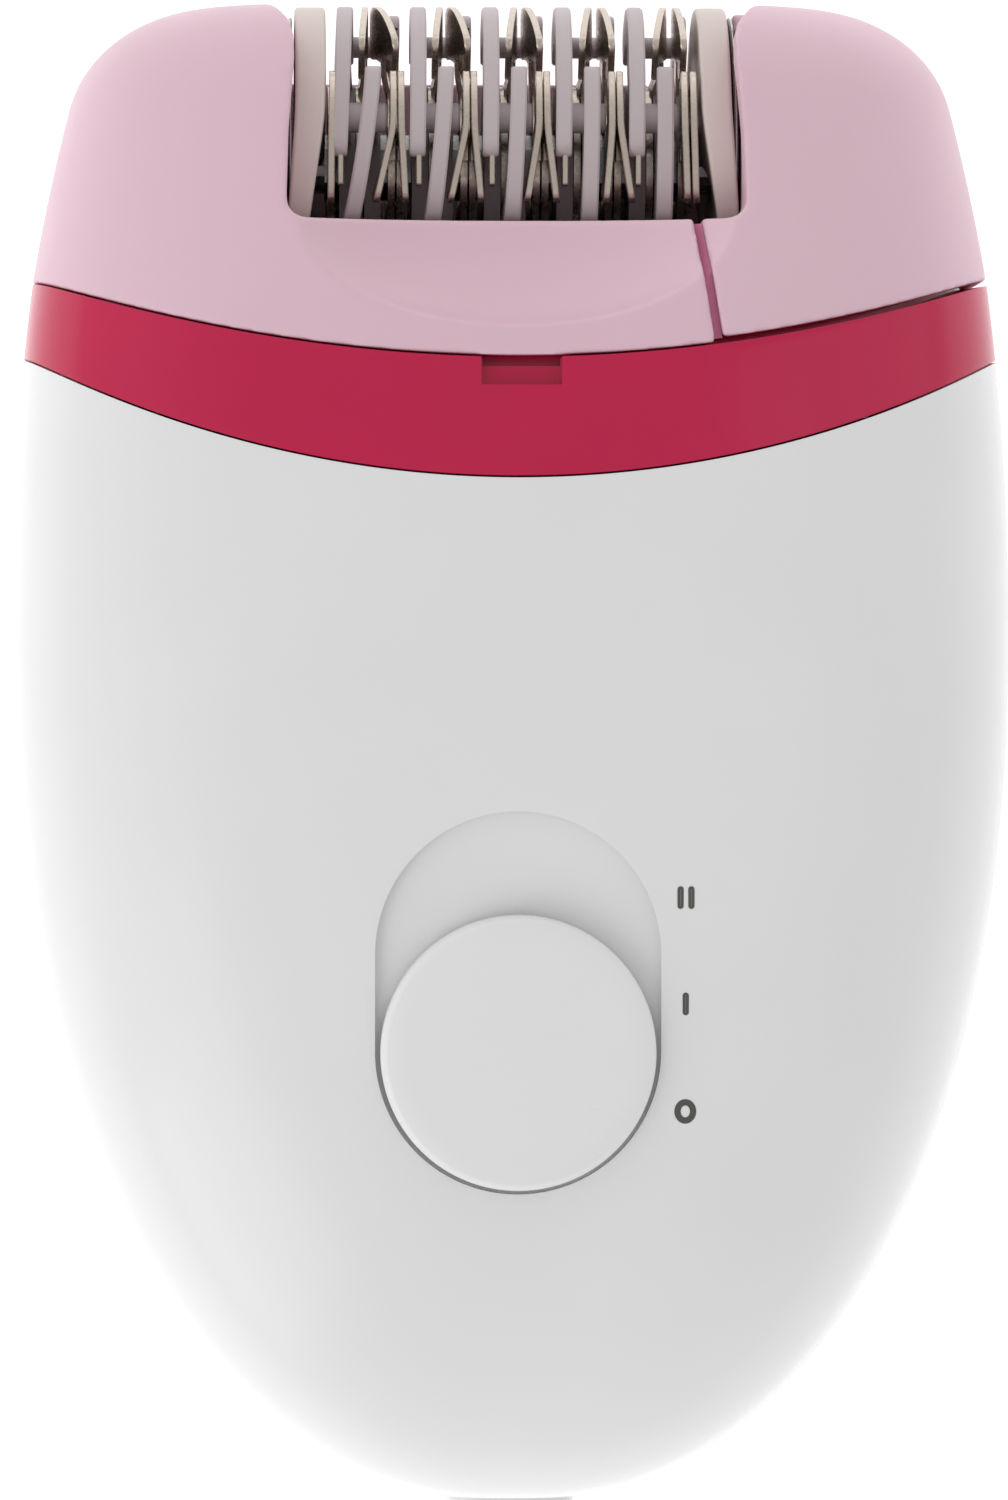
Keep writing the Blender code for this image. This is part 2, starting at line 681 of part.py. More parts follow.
def slide_switch():
    knob = cylinder("slide_knob", "Z", 0.35, 2.3, (0, 0), KNOB_RADIUS, "white", sides=40)
    bevel(knob, 0.7, 2)
    stem = outline_prism("knob_stem", [(-1.6, -1.6), (1.6, -1.6), (1.6, 1.6), (-1.6, 1.6)], -1.8, 1.0, "XY")
    join(knob, stem)
    in_knob_frame(knob)
    in_knob_frame(stem)
    slider = box("knob_slider", (-7.0, KNOB_OFF_Y - 5.0, -3.4), (7.0, KNOB_OFF_Y + 5.0, -2.0), "nylon")
    slider.data.transform(Matrix.Translation(Vector((0, -KNOB_OFF_Y, 0)) * MM))
    finger = box("slider_finger", (-1.0, -1.0, -9.3), (1.0, 1.0, -3.2))
    join(slider, finger)
    in_knob_frame(slider)
    in_knob_frame(finger)


def electrics():
    board = box("circuit_board", (-10.5, -37.5, BOARD_Z), (10.5, -10.0, BOARD_Z + 1.2), "board")
    cut(
        board,
        cylinder("board_hole_left", "Z", 20, 30, (-SCREW_X, SCREW_Y), 3.6, sides=12),
        cylinder("board_hole_right", "Z", 20, 30, (SCREW_X, SCREW_Y), 3.6, sides=12),
    )
    switch = box("switch_block", (-3.6, -27.0, BOARD_Z + 1.4), (3.6, -10.6, BOARD_Z + 5.0), "black")
    cut(switch, box("switch_lever_slot", (-1.5, -23.0, BOARD_Z + 3.4), (1.5, -11.6, BOARD_Z + 6.0)))
    resistor = cylinder("speed_resistor", "X", -9.0, -4.6, (-14.0, BOARD_Z + 2.75), 1.3, "nylon", sides=10)
    bevel(resistor, 0.3)


def dc_socket():
    """Two-pin inlet at the bottom end, a cup with its mouth facing -Y."""
    mouth, back = SOCKET_MOUTH_Y, SOCKET_MOUTH_Y + SOCKET_DEPTH
    cup = socket_prism("dc_socket", 0.0, mouth, back, "white")
    cut(cup, socket_prism("socket_cavity", -SOCKET_WALL, mouth - 2, back - 2.0))
    for label, x in (("left", -2.0), ("right", 2.0)):
        at = (x, PARTING_Z)
        cut(cup, cylinder(f"socket_pin_hole_{label}", "Y", back - 4, back + 2, at, 0.85, sides=10))
        cylinder(f"socket_pin_{label}", "Y", mouth + 5.6, back + 1.6, at, 0.7, "brass", sides=10)


def wiring():
    back = SOCKET_MOUTH_Y + SOCKET_DEPTH
    for label, side, colour in (("left", -1, "red"), ("right", 1, "black")):
        knots = [(side * 2.0, back + 1.9, PARTING_Z), (side * 3.4, back + 3.2, 20.6),
                 (side * 5.4, back + 4.2, 22.2), (side * 7.0, back + 5.4, BOARD_Z - 1.0)]
        wire(f"supply_wire_{label}", smooth_path(knots, 3), 0.55, colour, rounds=1)
        brush = (-19.8, MOTOR_Y - 7.2 + 2.4 * side, AXLE_Z - 5.0 + 2.2 * side)
        knots = [
            (side * 8.0, -12.4, BOARD_Z - 1.0),
            (side * 8.6 - 1, -10.8, 20.0),
            (side * 4.0 - 8, -10.2, 15.0),
            (-15.0, -8.8 + side, 13.5 + side),
            (-19.6, -8.6 + side, 14.2 + 1.4 * side),
            brush,
        ]
        wire(f"motor_wire_{label}", smooth_path(knots, 3), 0.55, colour, rounds=1)


# ---------------------------------------------------------------- epilating head
COVER_SLIT = 0.5


DISH_CENTRE = (0.0, 38.0, 41.2)
DISH_RADII = (17.2, 9.0, 8.15)   # meets the front face in a shallow smile, the mouth's lower edge 4 mm down


def front_dish():
    """An ellipsoid that dishes the head's front, limited to what is below the opening's lip."""
    bm = bmesh.new()
    bmesh.ops.create_uvsphere(bm, u_segments=40, v_segments=20, radius=MM)
    bmesh.ops.scale(bm, verts=bm.verts, vec=DISH_RADII)
    bmesh.ops.translate(bm, verts=bm.verts, vec=Vector(DISH_CENTRE) * MM)
    limits = box("dish_limits", (-20, 20, 10), (20, MOUTH_FRONT_Y + 1.5, 90))
    return keep(object_from("front_dish", bm), limits)


def head_hollow(name, low_x, high_x):
    hollow = head_body(name, inset=HEAD_WALL, low=20.0)
    keep(hollow, box(name + "_limits", (low_x, 10, -5), (high_x, 60, 50)))
    return hollow


def slit_slab(name, low_shift, high_shift, below=False):
    """The slanted plane between housing and side cover, as a wide slab right of it or a thin one in it."""
    top, bottom = (9.6, 55.0), (15.1, 20.0)
    points = [(bottom[0] + low_shift, bottom[1]), (bottom[0] + high_shift, bottom[1]),
              (top[0] + high_shift, top[1]), (top[0] + low_shift, top[1])]
    return outline_prism(name, points, -5, 50, "XY")


def lip_relief(name):
    """Room for the collar's lip and deck inside the foot of the head."""
    relief = handle_body(name, inset=LIP_INSET - 0.25, low=20.0, top=37.0)
    return keep(relief, seam_slab(name + "_top", None, (HEAD_SEAM_Y + LIP_RISE + 0.4, HEAD_SEAM_RADIUS)))


def head_half(name, colour, keep_right):
    body = head_body(name, colour=None)
    place_as_part(body, colour)
    lift = 0.3 if keep_right else 0.0
    axle = (AXLE_Y, AXLE_Z)
    keep(body, seam_slab(name + "_seam", (HEAD_SEAM_Y + SEAM_GAP + lift, HEAD_SEAM_RADIUS), None))
    cut(
        body,
        head_hollow(name + "_left_hollow", -40, -MOUTH_HALF - 1.6),
        head_hollow(name + "_right_hollow", MOUTH_HALF + 1.6, 40),
        cylinder(name + "_barrel_bay", "X", -MOUTH_HALF, MOUTH_HALF, axle, BARREL_RADIUS + 1.0, sides=36),
        box(name + "_mouth_front", (-MOUTH_HALF, MOUTH_FRONT_Y, AXLE_Z), (MOUTH_HALF, 60, 50)),
        box(name + "_mouth_rear", (-MOUTH_HALF, MOUTH_REAR_Y, -5), (MOUTH_HALF, 60, AXLE_Z + 1)),
        box(name + "_base_bay", (-MOUTH_HALF, 20, AXLE_Z - 12.0), (MOUTH_HALF, 33.5, AXLE_Z + 10.6)),
        box(name + "_gear_bay", (14.2, 20, 10.4), (29.0, 31.2, 29.6)),
        cylinder(name + "_bearing_seat", "X", -20, 20, axle, 3.5, sides=16),
        lip_relief(name + "_lip_relief"),
        bpy.data.objects["front_dish"],
    )
    if keep_right:
        cut(body, slit_slab(name + "_left_away", -90.0, COVER_SLIT / 2))
    else:
        cut(body, slit_slab(name + "_right_away", -COVER_SLIT / 2, 90.0))
    return body


def head_base():
    """Floor plate of the head, with posts that reach up inside the pillars and a catch for the button."""
    plate = handle_body("head_base", inset=LIP_INSET + LIP_WALL + 0.5, low=26.1, top=27.3)
    place_as_part(plate, "lilac")
    for z in (14.0, 26.0):
        join(plate, box(f"base_post_{z:.0f}", (-26.5, 26.8, z - 1.5), (-23.5, 36, z + 1.5)))
    cut(plate, box("base_gear_bay", (14.2, 20, 10.4), (40.0, 31.2, 29.6)))
    join(
        plate,
        box("base_catch", (-2.4, 20.4, 5.1), (2.4, 27.2, 6.1)),
        box("base_catch_toe", (-2.4, 20.4, 5.1), (2.4, LATCH_Y - 0.15, LATCH_TOE_Z)),
    )
    return plate


GUIDE_FLARE = 1.2


def guide_ring(name, side):
    """Fixed guide plate at one end of the barrel; its face leans away from the barrel towards the handle."""
    inner_x, outer_x = 13.3, 15.45
    sides = 24
    bm = bmesh.new()
    rows = []
    for face_x, radii, lean in ((inner_x, (2.6, 10.2), True), (inner_x + 0.25, (11.2,), True),
                                (outer_x - 0.2, (11.2,), False), (outer_x, (10.6, 2.6), False)):
        for radius in radii:
            row = []
            for i in range(sides):
                turn = 2 * math.pi * i / sides
                y, z = radius * math.cos(turn), radius * math.sin(turn)
                below = max(0.0, -(y - 4.0)) / 15.0
                x = face_x + (GUIDE_FLARE * min(1.0, below) * (radius / 11.2) if lean else 0.0)
                row.append(bm.verts.new(Vector((side * x, AXLE_Y + y, AXLE_Z + z)) * MM))
            rows.append(row)
    for lower, upper in zip(rows, [*rows[1:], rows[0]]):
        for i in range(sides):
            j = (i + 1) % sides
            bm.faces.new((lower[i], lower[j], upper[j], upper[i]))
    return object_from(name, bm, "lilac")


def bearings():
    for name, start, end in (("bearing_left", -17.3, -15.8), ("bearing_right", 15.8, 17.3)):
        bush = cylinder(name, "X", start, end, (AXLE_Y, AXLE_Z), 3.3, "nylon", sides=16)
        cut(bush, cylinder(name + "_bore", "X", start - 1, end + 1, (AXLE_Y, AXLE_Z), 1.98, sides=16))


def barrel_axle():
    """Hexagonal shaft with round ends."""
    centre = (AXLE_Y, AXLE_Z)
    axle = cylinder("barrel_axle", "X", -19.0, 22.4, centre, 1.8, "steel", sides=16)
    join(axle, cylinder("axle_hexagon", "X", -13.0, 13.0, centre, 2.3, sides=6))
    return axle


# ---------------------------------------------------------------- discs of the barrel
# Angles are measured about the barrel axis from +Y towards +Z, so 90 faces the front.
# Every disc repeats after half a turn.
HUB_INNER, HUB_OUTER = 2.75, 4.3
UPPER_LOBE = (-3.0, 20.0, 43.0)      # start, bend and end of the lobes in the upper row
LOWER_LOBE = (57.0, 81.0, 104.0)


def polar_plate(name, radii, columns, present, x_of, thickness, colour):
    """A thin plate on a polar grid with only the cells that are present, given its thickness by Solidify.

    x_of(angle, radius) gives the plate's place along the axle."""
    bm = bmesh.new()
    made = {}

    def corner(i, j):
        i %= len(columns)
        if (i, j) not in made:
            turn, radius = math.radians(columns[i]), radii[j]
            made[i, j] = bm.verts.new(Vector((
                x_of(columns[i], radius),
                AXLE_Y + radius * math.cos(turn),
                AXLE_Z + radius * math.sin(turn),
            )) * MM)
        return made[i, j]

    for i, start in enumerate(columns):
        end = columns[(i + 1) % len(columns)]
        middle = (start + ((end - start) % 360) / 2) % 180
        for j in range(len(radii) - 1):
            if present(middle, j):
                bm.faces.new((corner(i, j), corner(i + 1, j), corner(i + 1, j + 1), corner(i, j + 1)))
    obj = object_from(name, bm, colour)
    step = obj.modifiers.new("Solidify", "SOLIDIFY")
    step.thickness = thickness * MM
    step.offset = 0
    step.use_even_offset = False
    return obj


def wrap(angle):
    """The angle between -70 and 110, because every disc repeats after 180 degrees."""
    return (angle + 70) % 180 - 70


def repeated(angles):
    """The angles of one half turn repeated in the other, with wide gaps filled so that hubs stay round."""
    found = sorted({round(a % 360, 3) for base in angles for a in (base, base + 180)})
    filled = []
    for a, b in zip(found, [*found[1:], found[0] + 360]):
        steps = math.ceil((b - a) / 50)
        filled += [(a + (b - a) * i / steps) % 360 for i in range(steps)]
    return sorted(filled)


def inside(angle, span):
    return span[0] < wrap(angle) < span[-1]


def tweezer_disc(name, hub_x, lobes):
    """Spring-steel disc. lobes maps a lobe's (start, bend, end) to its axial places (start, bend, end)."""
    columns = [angle for span in lobes for angle in span]

    def present(angle, row):
        return row == 0 or any(inside(angle, span) for span in lobes)

    def x_of(angle, radius):
        if radius <= HUB_OUTER:
            return hub_x
        angle = wrap(angle)
        for (start, bend, end), (x_start, x_bend, x_end) in lobes.items():
            if start - 0.01 <= angle <= bend:
                share = (angle - start) / (bend - start)
                return hub_x + x_start + (x_bend - x_start) * share
            if bend <= angle <= end + 0.01:
                share = (angle - bend) / (end - bend)
                return hub_x + x_bend + (x_end - x_bend) * share
        return hub_x

    radii = (HUB_INNER, HUB_OUTER, BARREL_RADIUS)
    return polar_plate(name, radii, repeated(columns), present, x_of, BLADE, "steel")


# Places along the axle within one station, from its lifter plate A
LEFT_DISC, PLATE_B, MIDDLE_DISC, RIGHT_DISC, PLATE_E = 0.85, 1.75, 3.06, 3.67, 3.365
PLATE_HALF = 0.55
LAST_DISC_REACH = 12.83  # the last disc flares no further than this, clear of the guide ring


def station_x(k):
    return FIRST_STATION_X + STATION_PITCH * k


def tweezer_discs():
    """The discs of station k lean a little differently from one end of the barrel to the other."""
    tweezer_disc("tweezer_disc_end", station_x(-1) + RIGHT_DISC + 0.25, {LOWER_LOBE: (-0.1, -0.25, -0.5)})
    for k in range(STATIONS):
        x = station_x(k)
        tweezer_disc(
            f"tweezer_disc_{k + 1}_left",
            x + LEFT_DISC,
            {UPPER_LOBE: (0.4 + 0.2 * k, 0.4 + 0.12 * k, 0.4)},
        )
        tweezer_disc(
            f"tweezer_disc_{k + 1}_middle",
            x + MIDDLE_DISC,
            {UPPER_LOBE: (-1.25 + 0.2 * k, -0.3 + 0.02 * k, 0.65 - 0.15 * k),
             LOWER_LOBE: (0.0, 0.0, -1.2 + 0.26 * k)},
        )
        flare = min(0.28 + 0.16 * k, LAST_DISC_REACH - x - RIGHT_DISC)
        tweezer_disc(f"tweezer_disc_{k + 1}_right", x + RIGHT_DISC, {LOWER_LOBE: (0.0, 0.0, flare)})


ROD_RADIUS, ROD_AT = 0.9, 9.1
PLATE_A_SPAN = (-33.0, 89.5)
PLATE_B_SPAN = (55.5, 115.5)
PLATE_E_SPAN = (-69.0, -9.0)
RIM_INNER = 8.7


def lifter_plate(name, hub_x, span, steps, half, lean, spokes, colour=None, hub=True):
    """A plastic rim sector in equal steps, leaning along the axle, with spokes under the steps named."""
    start, end = span
    width = (end - start) / steps

    def along(angle):
        """Degrees past the span's start, so that a span may run on past the repeat."""
        return (angle - start + 0.001) % 180

    def present(angle, row):
        if row == 0:
            return hub
        step = int(along(angle) // width)
        return step in spokes if row == 1 else step < steps

    def x_of(angle, radius):
        if radius <= HUB_OUTER or along(angle) > end - start + 1:
            return hub_x
        return hub_x + lean * along(angle) / (end - start)

    columns = [start + width * i for i in range(steps + 1)]
    radii = (HUB_INNER, HUB_OUTER, RIM_INNER, BARREL_RADIUS)
    return polar_plate(name, radii, repeated(columns), present, x_of, 2 * half, colour)


def rod(name, x_start, x_end, angle):
    turn = math.radians(angle)
    centre = (AXLE_Y + ROD_AT * math.cos(turn), AXLE_Z + ROD_AT * math.sin(turn))
    return cylinder(name, "X", x_start, x_end, centre, ROD_RADIUS, sides=6)


def lifter_carrier(k):
    """One moulded piece: rear plate E, plate A and plate B on a common hub, tied by rods."""
    x = station_x(k)
    name = f"lifter_carrier_{k + 1}"
    lean_a = -0.35
    lean_b = -1.05 + 0.22 * k
    carrier = lifter_plate(name, x, PLATE_A_SPAN, 5, PLATE_HALF, lean_a, (1, 4), "lilac")
    join(
        carrier,
        lifter_plate(name + "_b", x + PLATE_B, PLATE_B_SPAN, 3, PLATE_HALF, lean_b, (1,)),
        lifter_plate(name + "_e", x + PLATE_E, PLATE_E_SPAN, 2, 0.35, 0.0, (), hub=False),
        *(rod(f"{name}_rod_{angle}", x - 0.5, x + PLATE_B + 0.4, angle) for angle in (77, 257)),
        *(rod(f"{name}_rod_{angle}", x - 0.5, x + PLATE_E + 0.3, angle) for angle in (-21, 159)),
    )


# ---------------------------------------------------------------- axes of the moving pieces
def with_helpers(obj):
    """obj and everything that its Booleans use, which has to move with it."""
    found = {obj}
    for step in obj.modifiers:
        if step.type == "BOOLEAN":
            found |= with_helpers(step.object)
    return found


def mount(name, at, prefixes, parent=None):
    """An empty on a joint's axis; the pieces whose names start with one of the prefixes are its children."""
    axis = bpy.data.objects.new(name, None)
    axis.empty_display_size = 5 * MM
    COLLECTIONS["parts"].objects.link(axis)
    axis.location = Vector(at) * MM
    if parent:
        axis.parent = parent
        axis.location -= parent.location
    bpy.context.view_layer.update()
    named = [obj for obj in COLLECTIONS["parts"].objects if obj.name.startswith(prefixes)]
    pieces = [obj for obj in named if obj.type == "MESH"]
    for obj in set().union(*map(with_helpers, pieces)):
        obj.parent = axis
        obj.matrix_parent_inverse = axis.matrix_world.inverted()
    return axis


def mount_moving_pieces():
    head = mount("head_axis", (0, HEAD_SEAM_Y, PARTING_Z), ("head_", "guide_ring", "bearing_"))
    mount("barrel_axis", (0, AXLE_Y, AXLE_Z), ("barrel_", "tweezer_disc", "lifter_carrier"), parent=head)
    mount("output_axis", (0, OUTPUT_Y, AXLE_Z), ("output_gear",))
    mount("idler_axis", (0, IDLER_Y, AXLE_Z), ("idler_gear",))
    mount("motor_axis", (0, MOTOR_Y, AXLE_Z), ("motor_shaft", "motor_armature", "motor_pinion"))
    mount("switch_axis", (0, KNOB_OFF_Y, RECESS_Z), ("slide_knob", "knob_slider"))
    mount("button_axis", (0, BUTTON_Y, 0), ("release_button",))


def main():
    clear_scene()
    COLLECTIONS["parts"] = new_collection("epilator")
    COLLECTIONS["cutters"] = new_collection("cutters", hidden=True)
    make_materials()
    front_dish()
    front_shell()
    rear_shell()
    case_screw("case_screw_left", -1)
    case_screw("case_screw_right", 1)
    collar_ring()
    release_button()
    coil_spring("release_spring_left", -5.1, BUTTON_Y - 0.6, 4.1, 9.5)
    coil_spring("release_spring_right", 5.1, BUTTON_Y - 0.6, 4.1, 9.5)
    gear_chassis()
    gears()
    motor()
    slide_switch()
    electrics()
    dc_socket()
    wiring()
    head_half("head_housing", "pink", keep_right=False)
    head_half("head_side_cover", "pink", keep_right=True)
    head_base()
    guide_ring("guide_ring_left", -1)
    guide_ring("guide_ring_right", 1)
    bearings()
    barrel_axle()
    tweezer_discs()
    for k in range(STATIONS):
        lifter_carrier(k)
    mount_moving_pieces()


main()
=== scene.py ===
"""Looks of the epilator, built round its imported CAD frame.

The row frame is the CAD's: +X to the user's right, +Y from the socket end to the head, +Z out of the front
face. Lengths below are millimetres, which MM turns into metres, and angles on the barrel are degrees about
its axis from +Y towards +Z.
"""

import math

import bmesh
import bpy
from mathutils import Matrix, Vector

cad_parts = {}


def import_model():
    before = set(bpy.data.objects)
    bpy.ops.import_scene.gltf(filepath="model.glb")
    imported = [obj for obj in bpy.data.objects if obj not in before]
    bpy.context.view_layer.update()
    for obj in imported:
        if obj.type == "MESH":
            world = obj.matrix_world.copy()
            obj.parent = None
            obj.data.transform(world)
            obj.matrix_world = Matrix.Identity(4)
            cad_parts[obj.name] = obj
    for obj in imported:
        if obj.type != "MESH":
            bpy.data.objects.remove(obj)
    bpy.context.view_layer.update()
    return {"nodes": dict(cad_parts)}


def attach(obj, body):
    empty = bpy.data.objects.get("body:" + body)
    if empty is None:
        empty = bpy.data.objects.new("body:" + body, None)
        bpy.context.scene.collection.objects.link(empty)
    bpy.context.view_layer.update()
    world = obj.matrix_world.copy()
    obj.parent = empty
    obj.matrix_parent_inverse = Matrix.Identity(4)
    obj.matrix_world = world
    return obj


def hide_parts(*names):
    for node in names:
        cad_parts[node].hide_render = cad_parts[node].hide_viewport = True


MM = 0.001

# ---------------------------------------------------------------- outer form, as in the CAD
HALF_WIDTH, WIDEST_Y, HANDLE_DROP, END_Y = 35.0, 8.8, 61.0, -51.8
WIDTH_POWER, DEPTH_POWER, SECTION_POWER = 2.2, 3.2, 3.0
PARTING_Z, FRONT_DEPTH, REAR_DEPTH = 20.0, 20.4, 22.0
WALL = 1.8
HEAD_FLANK_Y, HEAD_FLANK_HALF_WIDTH = 33.1, 33.44        # where the head's sides turn from a curve to a taper
HEAD_TOP_Y, HEAD_CORNER_Y, HEAD_CORNER_WIDTH, HEAD_CORNER_DEPTH = 52.2, 45.0, 8.5, 5.5
SHOULDER_POWER = 2.2
HEAD_WALL = 1.6
HANDLE_SEAM, HEAD_SEAM = (19.05, 71.5), (27.15, 101.0)   # height on the centre line and radius
SEAM_GAP = 0.15
LIP_INSET, LIP_WALL, LIP_RISE = 1.9, 1.4, 1.5            # the collar's lip that the head slips over
DECK_LOW, DECK_TOP = 24.2, 25.6
BUTTON_Y = 23.4
BUTTON_WINDOW = (6.6, 2.3)                               # half sizes of the opening round the release button
SCREW_X, SCREW_Y, SCREW_HOLE_RADIUS = 13.0, -31.5, 2.9

AXLE_Y, AXLE_Z = 41.3, 20.0
BARREL_RADIUS = 11.3
MOUTH_HALF, MOUTH_FRONT_Y, MOUTH_REAR_Y = 15.75, 36.8, 48.0
STATIONS, STATION_PITCH, FIRST_STATION_X = 5, 5.06, -11.44

KNOB_RADIUS, KNOB_GAP, KNOB_TRAVEL, KNOB_OFF_Y = 9.4, 0.35, 6.7, -20.2
RECESS_TILT, RECESS_Z = math.radians(3.4), 38.75
SOCKET_HALF_X, SOCKET_HALF_Z = 4.5, 3.6
SOCKET_MOUTH_Y, SOCKET_DEPTH = END_Y - 0.8, 13.0

# ---------------------------------------------------------------- camera
VIEW_HEIGHT = 105.6               # seen from top to bottom at the parting plane
CAMERA_DISTANCE = 600.0
CAMERA_TURN = math.radians(1.8)   # the camera stands a little to the left
CAMERA_TARGET = (-0.35, 0.35, PARTING_Z)


# ---------------------------------------------------------------- materials
def srgb(r, g, b):
    """Linear colour of an 8-bit sRGB one."""
    return tuple((c / 255 / 12.92 if c < 11 else ((c / 255 + 0.055) / 1.055) ** 2.4) for c in (r, g, b))


def shader_material(name, roughness, metallic=0.0, **extra):
    made = bpy.data.materials.new(name)
    made.use_nodes = True
    shader = made.node_tree.nodes["Principled BSDF"]
    shader.inputs["Roughness"].default_value = roughness
    shader.inputs["Metallic"].default_value = metallic
    for socket, value in extra.items():
        shader.inputs[socket.replace("_", " ")].default_value = value
    return made, shader


def noise(made, scale, detail=2.0, stretch=(1, 1, 1)):
    """Noise in the object's own space; scale is in cycles per metre."""
    tree = made.node_tree
    where = tree.nodes.new("ShaderNodeTexCoord")
    mapping = tree.nodes.new("ShaderNodeMapping")
    mapping.inputs["Scale"].default_value = stretch
    texture = tree.nodes.new("ShaderNodeTexNoise")
    texture.inputs["Scale"].default_value = scale
    texture.inputs["Detail"].default_value = detail
    tree.links.new(where.outputs["Object"], mapping.inputs["Vector"])
    tree.links.new(mapping.outputs["Vector"], texture.inputs["Vector"])
    return texture.outputs["Fac"]


def vary_colour(made, shader, colour, spread, scale, stretch=(1, 1, 1)):
    """Mixes the colour with a slightly darker one by noise."""
    tree = made.node_tree
    ramp = tree.nodes.new("ShaderNodeValToRGB")
    ramp.color_ramp.elements[0].position = 0.35
    ramp.color_ramp.elements[1].position = 0.65
    ramp.color_ramp.elements[0].color = (*(c * (1 - spread) for c in colour), 1)
    ramp.color_ramp.elements[1].color = (*colour, 1)
    tree.links.new(noise(made, scale, 3.0, stretch), ramp.inputs["Fac"])
    tree.links.new(ramp.outputs["Color"], shader.inputs["Base Color"])


def vary_roughness(made, shader, low, high, scale, stretch=(1, 1, 1)):
    tree = made.node_tree
    spread = tree.nodes.new("ShaderNodeMapRange")
    spread.inputs["From Min"].default_value = 0.3
    spread.inputs["From Max"].default_value = 0.7
    spread.inputs["To Min"].default_value = low
    spread.inputs["To Max"].default_value = high
    tree.links.new(noise(made, scale, 4.0, stretch), spread.inputs["Value"])
    tree.links.new(spread.outputs["Result"], shader.inputs["Roughness"])


def bump(made, shader, scale, height, strength=1.0, stretch=(1, 1, 1)):
    """Surface grain; height is in millimetres."""
    tree = made.node_tree
    node = tree.nodes.new("ShaderNodeBump")
    node.inputs["Strength"].default_value = strength
    node.inputs["Distance"].default_value = height * MM
    tree.links.new(noise(made, scale, 2.0, stretch), node.inputs["Height"])
    tree.links.new(node.outputs["Normal"], shader.inputs["Normal"])


def plastic(name, colour, roughness, grain, grain_scale=2200.0, coat=0.0, spread=0.02):
    """Moulded plastic: a little colour drift, uneven gloss and a fine grain of the given height."""
    made, shader = shader_material(name, roughness, Coat_Weight=coat, Coat_Roughness=0.08)
    shader.inputs["IOR"].default_value = 1.45
    vary_colour(made, shader, colour, spread, 60.0)
    vary_roughness(made, shader, roughness * 0.88, roughness * 1.12, 140.0)
    bump(made, shader, grain_scale, grain)
    return made


def metal(name, colour, roughness, stretch=(1, 1, 1), scale=900.0, grain=0.004, spread=0.12):
    """Metal with rolling or turning marks drawn out along the directions that stretch makes small."""
    made, shader = shader_material(name, roughness, metallic=1.0)
    vary_colour(made, shader, colour, spread, scale * 0.6, stretch)
    vary_roughness(made, shader, roughness * 0.75, roughness * 1.3, scale, stretch)
    bump(made, shader, scale * 2, grain, 1.0, stretch)
    return made


MATERIALS = {}


def make_materials():
    MATERIALS.update(
        white=plastic("white_gloss_plastic", (0.775, 0.775, 0.777), 0.24, 0.0006),
        knob=plastic("knob_plastic", (0.79, 0.79, 0.792), 0.30, 0.0008),
        pink=plastic("pink_satin_plastic", srgb(221, 187, 200), 0.42, 0.0022, 3200.0),
        magenta=plastic("magenta_gloss_plastic", srgb(190, 14, 70), 0.20, 0.0006, spread=0.05),
        tongue=plastic("translucent_pink_wall", srgb(206, 124, 158), 0.40, 0.001),
        lilac=plastic("lilac_plastic", srgb(188, 176, 178), 0.45, 0.0015),
        guide=plastic("guide_ring_plastic", srgb(212, 198, 192), 0.42, 0.0015),
        nylon=plastic("natural_nylon", srgb(226, 222, 208), 0.45, 0.002),
        black=plastic("black_plastic", (0.022, 0.022, 0.024), 0.42, 0.003),
        board=plastic("board_solder_mask", (0.030, 0.16, 0.060), 0.35, 0.002, 900.0, spread=0.3),
        red=plastic("red_wire_insulation", (0.45, 0.02, 0.02), 0.45, 0.002),
        print=plastic("printed_marks", (0.085, 0.087, 0.075), 0.5, 0.0005, spread=0.1),
        blade=metal("tweezer_steel", srgb(202, 190, 178), 0.30, (1, 1, 1), 3000.0, 0.0006, 0.05),
        steel=metal("ground_steel", srgb(190, 190, 190), 0.28, (0.1, 1, 1)),
        zinc=metal("zinc_plated_steel", srgb(196, 198, 202), 0.34, (0.1, 1, 1), 500.0),
        brass=metal("turned_brass", srgb(214, 180, 104), 0.26, (1, 1, 1), 1200.0),
        copper=metal("enamelled_copper_wire", srgb(186, 98, 56), 0.38, (0.05, 1, 1), 1600.0, 0.03),
    )


# ---------------------------------------------------------------- mesh helpers
def mesh_object(name, bm, material):
    mesh = bpy.data.meshes.new(name)
    bm.to_mesh(mesh)
    bm.free()
    obj = bpy.data.objects.new(name, mesh)
    bpy.context.scene.collection.objects.link(obj)
    if material:
        mesh.materials.append(MATERIALS[material])
    return obj


def closed(name, bm, material=None):
    bmesh.ops.recalc_face_normals(bm, faces=bm.faces)
    return mesh_object(name, bm, material)


def stitch(bm, rows, wrap):
    """Quads between rows of vertices; wrap closes each row into a ring."""
    count = len(rows[0])
    for lower, upper in zip(rows, rows[1:]):
        for i in range(count if wrap else count - 1):
            j = (i + 1) % count
            bm.faces.new((lower[i], lower[j], upper[j], upper[i]))


def grid(rows_of_points, wrap=False, caps=False):
    bm = bmesh.new()
    rows = [[bm.verts.new(Vector(p) * MM) for p in row] for row in rows_of_points]
    stitch(bm, rows, wrap)
    if caps:
        bm.faces.new(rows[0])
        bm.faces.new(rows[-1])
    return bm


def box(name, low, high):
    bm = bmesh.new()
    bmesh.ops.create_cube(bm, size=MM)
    low, high = Vector(low), Vector(high)
    bmesh.ops.scale(bm, verts=bm.verts, vec=high - low)
    bmesh.ops.translate(bm, verts=bm.verts, vec=(high + low) / 2 * MM)
    return closed(name, bm)


